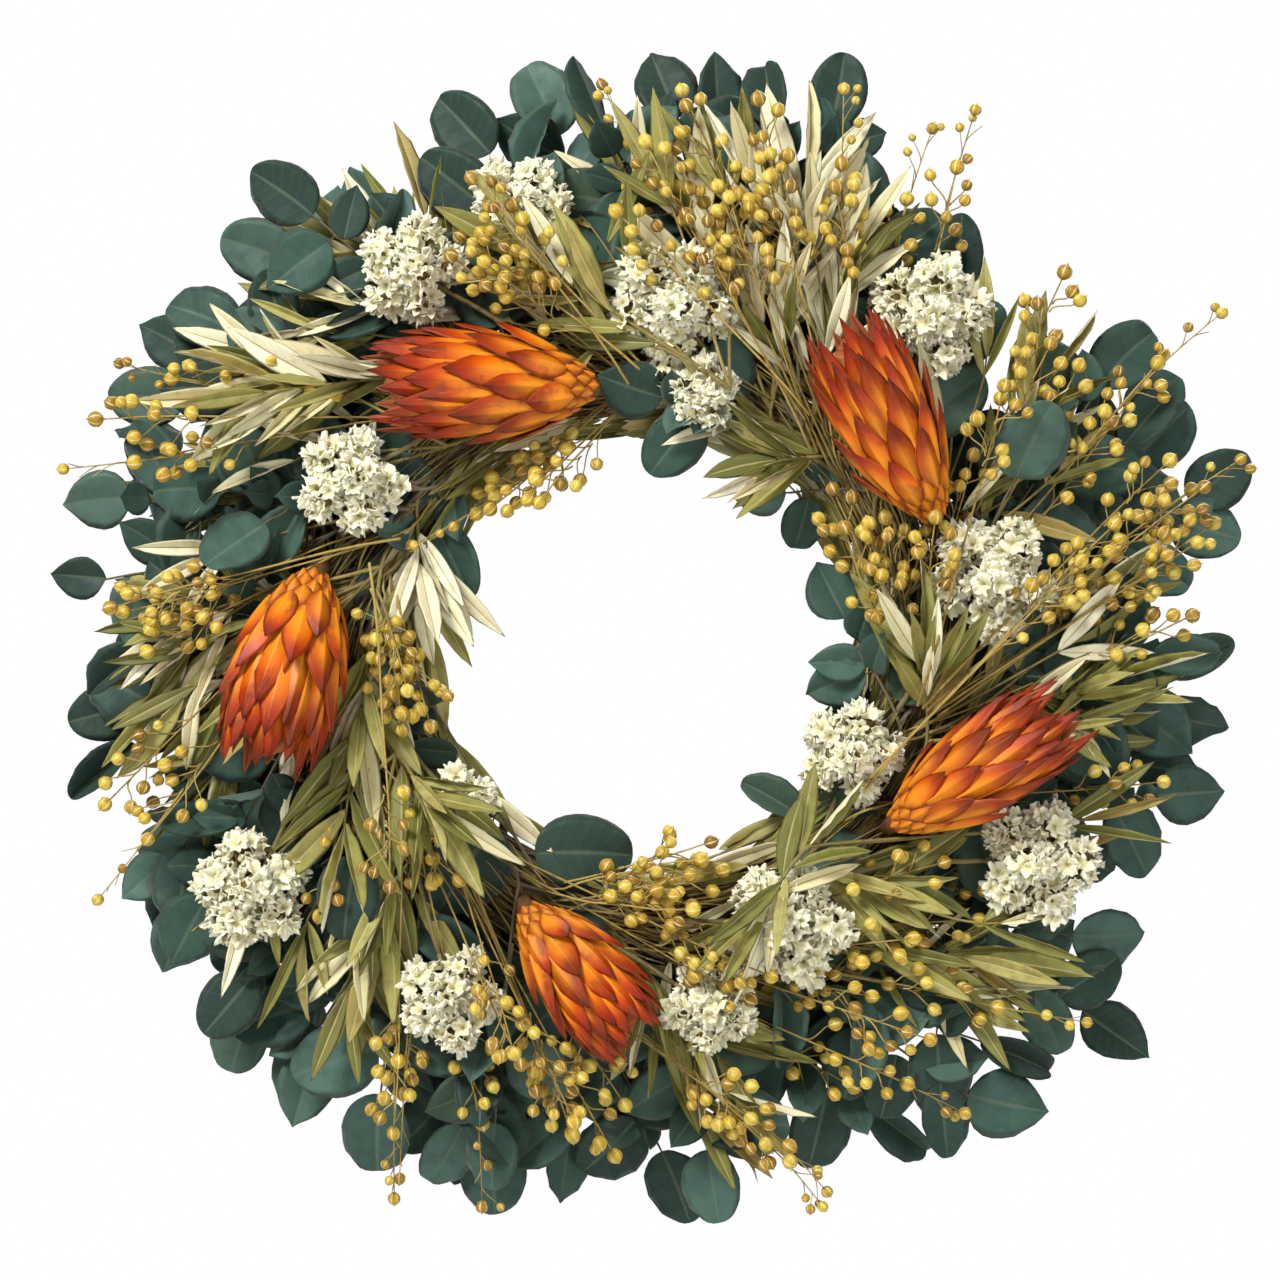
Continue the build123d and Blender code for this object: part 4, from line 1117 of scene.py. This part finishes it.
def grow_protea(batch, name, rng, stamps):
    for points in solids(name):
        foot, way, length, width, stem = protea_parts(points)
        a = across_of(way, FRONT)
        b = np.cross(way, a)
        line = bezier(stem, stem + way * 6 * MM, foot - way * 14 * MM, foot + way * 4 * MM, 8)
        tube(batch, line, STEM_RADII, STEM, rng, 10, rough=0.03)
        core = np.linspace(0.02, 0.8, 10)
        thick = [0.72 * head_radius(t, width) * (1 - max(t - 0.5, 0) * 1.1) for t in core]
        tube(batch, [foot + way * t * length for t in core], thick, CORE, rng, 16, 0.9, 0.04)
        for k in range(BASE_SCALES):
            t = (k + 0.5) / BASE_SCALES
            out = spun(a, b, k * GOLDEN)
            root = foot + way * length * (0.13 * t - 0.11) + out * head_radius(0, width) * (0.28 + 0.59 * t)
            size = (10 + 9 * t) * MM
            rise, face = unit(way + out * 0.75), unit(out - way * 0.75)
            leaf(batch, root, rise, face, size, size * 0.75, BRACT, (0, 1), rng, bend=0.75, fold=-0.35,
                 thick=0.9 * MM, rib=-0.3 * MM, tint=rng.uniform(0.6, 1.0))
        for k in range(BRACTS):
            t = (k + 0.5) / BRACTS
            start = 0.52 * t ** 0.9
            out = spun(a, b, (k + BASE_SCALES) * GOLDEN)
            size = length * (0.27 + 0.27 * min(t / 0.35, 1.0) - 0.06 * t) * rng.uniform(0.92, 1.05)
            broad = width * (0.27 + 0.07 * math.sin(math.pi * min(t * 1.1, 1.0)) - 0.03 * t)
            broad *= rng.uniform(0.9, 1.1)
            finish = start + size / length
            r0 = head_radius(start, width) * (0.88 - 0.24 * t)
            flare = (1.5 + 4.0 * rng.random() ** 2) * MM
            r1 = head_radius(min(finish, 1.0), width) * (1.0 - 0.3 * t) + flare
            root, end = (foot + way * x * length + out * r for x, r in ((start, r0), (finish, r1)))
            swell = head_radius((start + finish) / 2, width) * (1.0 - 0.27 * t) - (r0 + r1 - flare) / 2
            arc = min(4 * max(swell, 0) / size, 0.7)
            chord = unit(end - root)
            rise = turned(chord, unit(np.cross(chord, out)), arc / 2)
            leaf(batch, root, rise, across_of(rise, out), size, broad, BRACT, (0, 1), rng,
                 bend=arc + rng.normal(0, 0.05), swerve=rng.normal(0, 0.05), fold=-rng.uniform(0.3, 0.46),
                 twist=rng.normal(0, 0.06), wave=0.014, thick=1.1 * MM, rib=-0.6 * MM)


# ---------------------------------------------------------------- the vines
def gnarled(t, radius, rng, swell):
    """Radii along a vine: slow swells, and a few knuckles where buds were."""
    radii = 1 + swell * (0.5 * np.sin(3 * t + rng.random() * 6) + 0.4 * np.sin(7 * t + rng.random() * 6))
    for _ in range(6):
        gap = np.angle(np.exp(1j * (t - rng.random() * 2 * math.pi)))
        radii = radii + swell * 0.9 * np.exp(-(gap / 0.03) ** 2)
    return radius * radii


def vine_loop(batch, centre, a, b, ring, radius, rng, steps, sides, wander, swell):
    """Closed bark tube round a circle in the plane of a and b."""
    t = np.linspace(0, 2 * math.pi, steps, endpoint=False)
    normal = np.cross(a, b)
    drift = sum(np.sin(k * t + rng.random() * 6) / k for k in (2, 3, 5, 8)) * wander / 2
    rise = sum(np.cos(k * t + rng.random() * 6) / k for k in (2, 4, 7)) * wander / 2
    radii = gnarled(t, radius, rng, swell)
    out = spun(a, b, t[:, None])
    line = centre + out * (ring + drift)[:, None] + normal * rise[:, None]
    angle = np.arange(sides) * 2 * math.pi / sides
    bumps = 1 + 0.05 * rng.standard_normal((steps, sides))
    bumps = (bumps + np.roll(bumps, 1, 0) + np.roll(bumps, -1, 0)) / 3
    furrow = 1 + 0.07 * np.sin(angle * 5 + 3)[None, :]
    r = (radii[:, None] * bumps * furrow)[..., None]
    verts = line[:, None] + r * spun(out[:, None], normal, angle[None, :, None])
    k = np.arange(steps)[:, None] * sides
    m = (np.arange(steps)[:, None] + 1) % steps * sides
    c = np.arange(sides)[None, :]
    d = (c + 1) % sides
    faces = np.stack([k + c, m + c, m + d, k + d], -1).reshape(-1, 4)
    tint = rng.random()
    data = grown(tint, np.repeat(t, sides) / (2 * math.pi), np.tile(angle, steps) / (2 * math.pi), tint)
    batch.add(verts.reshape(-1, 3), [faces], [0], data)


def grow_hoop(batch, name, rng, stamps):
    """One vine of the ring, round the middle of its CAD hoop."""
    low, high = (np.array(c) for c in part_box(name))
    radius = (high[1] - low[1]) / 2
    ring = (high[0] - low[0]) / 2 - radius
    vine_loop(batch, (low + high) / 2, RIGHT, UP, ring, radius, rng, 360, 14, 1.2 * MM, 0.12)


def grow_ties(batch, name, rng, stamps):
    """The thin vines wound round the ring, each on its own CAD loop."""
    for points in solids(name):
        centre, rows, extent = axes_of(points)
        radius = extent[2] / 2
        ring = extent[0] / 2 - radius
        vine_loop(batch, centre, rows[0], rows[1], ring, radius, rng, 72, 10, 0.3 * MM, 0.1)


# ---------------------------------------------------------------- the whole wreath
def build_wreath():
    bark = bark_look("grapevine_bark", (50, 34, 22), (96, 70, 46), (140, 110, 78))
    thin_bark = bark_look("thin_vine_bark", (58, 38, 24), (112, 82, 52), (156, 126, 90))
    enamel = wire_look("green_wire", (40, 58, 38), (74, 84, 62), 0.3, 0.5)
    steel = wire_look("annealed_wire", (104, 100, 94), (66, 58, 50), 0.9, 0.45)
    for node, look in (("binding_wire", enamel), ("hanger_ties", steel), ("hanging_loop", steel)):
        mesh = NODES[node].data
        mesh.materials.clear()
        mesh.materials.append(look)
    grey_stem = stalk_look("eucalyptus_stem", (56, 46, 34), (112, 100, 76), (84, 52, 36))
    olive_stem = stalk_look("olive_stem", (96, 84, 40), (164, 148, 88), (86, 66, 34))
    flax_stem = stalk_look("flax_stalk", (120, 94, 44), (188, 164, 90), (104, 70, 34))
    statice_stem = stalk_look("statice_stem", (96, 86, 52), (150, 136, 88), (90, 74, 44))
    protea_stem = stalk_look("protea_stem", (84, 54, 34), (134, 92, 58), (66, 42, 28))
    draws = np.random.default_rng(5)
    stamps = {"pod": pod_stamp(0), "calyx": calyx_stamp(1), "knob": knob_stamp(1, draws),
              "florets": [floret_stamp(0, draws) for _ in range(5)]}
    # each kind, which starts its nodes' names, what grows it, its pieces' ending, its looks
    kinds = (
        ("vine_hoop", grow_hoop, "_bark", [bark]),
        ("vine_ties", grow_ties, "_bark", [thin_bark]),
        ("eucalyptus", grow_eucalyptus, "_leaves",
         [eucalyptus_look("eucalyptus_top"), eucalyptus_look("eucalyptus_underside", under=True), grey_stem]),
        ("olive", grow_olive, "_leaves", [olive_top_look(), olive_under_look(), olive_stem]),
        ("flax", grow_flax, "_stalks", [pod_look(), flax_stem]),
        ("statice", grow_statice, "_florets", [floret_look(), statice_heart_look(), statice_stem]),
        ("protea", grow_protea, "_bracts",
         [bract_look(), bract_inner_look(), protea_stem, bract_inner_look()]),
    )
    for name in sorted(NODES):
        for kind, grow, ending, looks in kinds:
            if name.startswith(kind):
                batch = Batch()
                grow(batch, name, seeded(name), stamps)
                batch.piece(name + ending, looks, name)


# ---------------------------------------------------------------- studio
SKY_LIGHT = 0.21      # the surroundings' light on the wreath. The camera sees them white.
LENS, SENSOR, CAMERA_Y = 120.0, 36.0, -2.055
AIM = RING_C + np.array([-1.4, 0.0, 2.4]) * MM      # where the camera looks
FLOOR_HALF, FLOOR_Z = 4.0, -1.4
# each lamp's name, place, size in metres and power in watts
LAMPS = (("key", (-1.2, -1.8, 1.4), 0.9, 78), ("fill", (1.6, -2.0, 0.2), 1.6, 20),
         ("low", (0.1, -1.9, -1.2), 1.4, 6), ("back", (0.8, 1.8, 1.2), 1.4, 38))


def studio():
    scene = bpy.context.scene
    scene.camera = placed("camera", bpy.data.cameras.new("camera"))
    scene.camera.data.lens, scene.camera.data.sensor_width = LENS, SENSOR
    scene.camera.location = (AIM[0], CAMERA_Y, AIM[2])
    scene.camera.rotation_euler = (math.pi / 2, 0, 0)

    floor = bpy.data.meshes.new("floor")
    corners = [(x * FLOOR_HALF, y * FLOOR_HALF, FLOOR_Z) for x, y in ((-1, -1), (1, -1), (1, 1), (-1, 1))]
    floor.from_pydata(corners, [], [(0, 1, 2, 3)])
    pale = Look("studio_floor", 0.8)
    pale.shade = pale.ramp(pale.noise(2.0), (0.3, (0.8, 0.8, 0.79, 1)), (0.7, (0.86, 0.86, 0.85, 1)))
    floor.materials.append(pale.done())
    placed("floor", floor)

    for name, place, size, power in LAMPS:
        light = bpy.data.lights.new(name, "AREA")
        light.size, light.energy = size, power
        lamp = placed(name, light)
        lamp.location = place
        lamp.rotation_euler = Vector(np.array(place) - RING_C).to_track_quat("Z", "Y").to_euler()

    world = bpy.data.worlds.new("studio")
    scene.world = world
    world.use_nodes = True
    background = world.node_tree.nodes["Background"]
    background.inputs["Color"].default_value = (1, 1, 1, 1)
    seen = world.node_tree.nodes.new("ShaderNodeLightPath")
    strength = world.node_tree.nodes.new("ShaderNodeMapRange")
    strength.inputs["To Min"].default_value, strength.inputs["To Max"].default_value = SKY_LIGHT, 1.0
    world.node_tree.links.new(seen.outputs["Is Camera Ray"], strength.inputs["Value"])
    world.node_tree.links.new(strength.outputs[0], background.inputs["Strength"])
    scene.view_settings.view_transform = "Standard"


build_wreath()
studio()
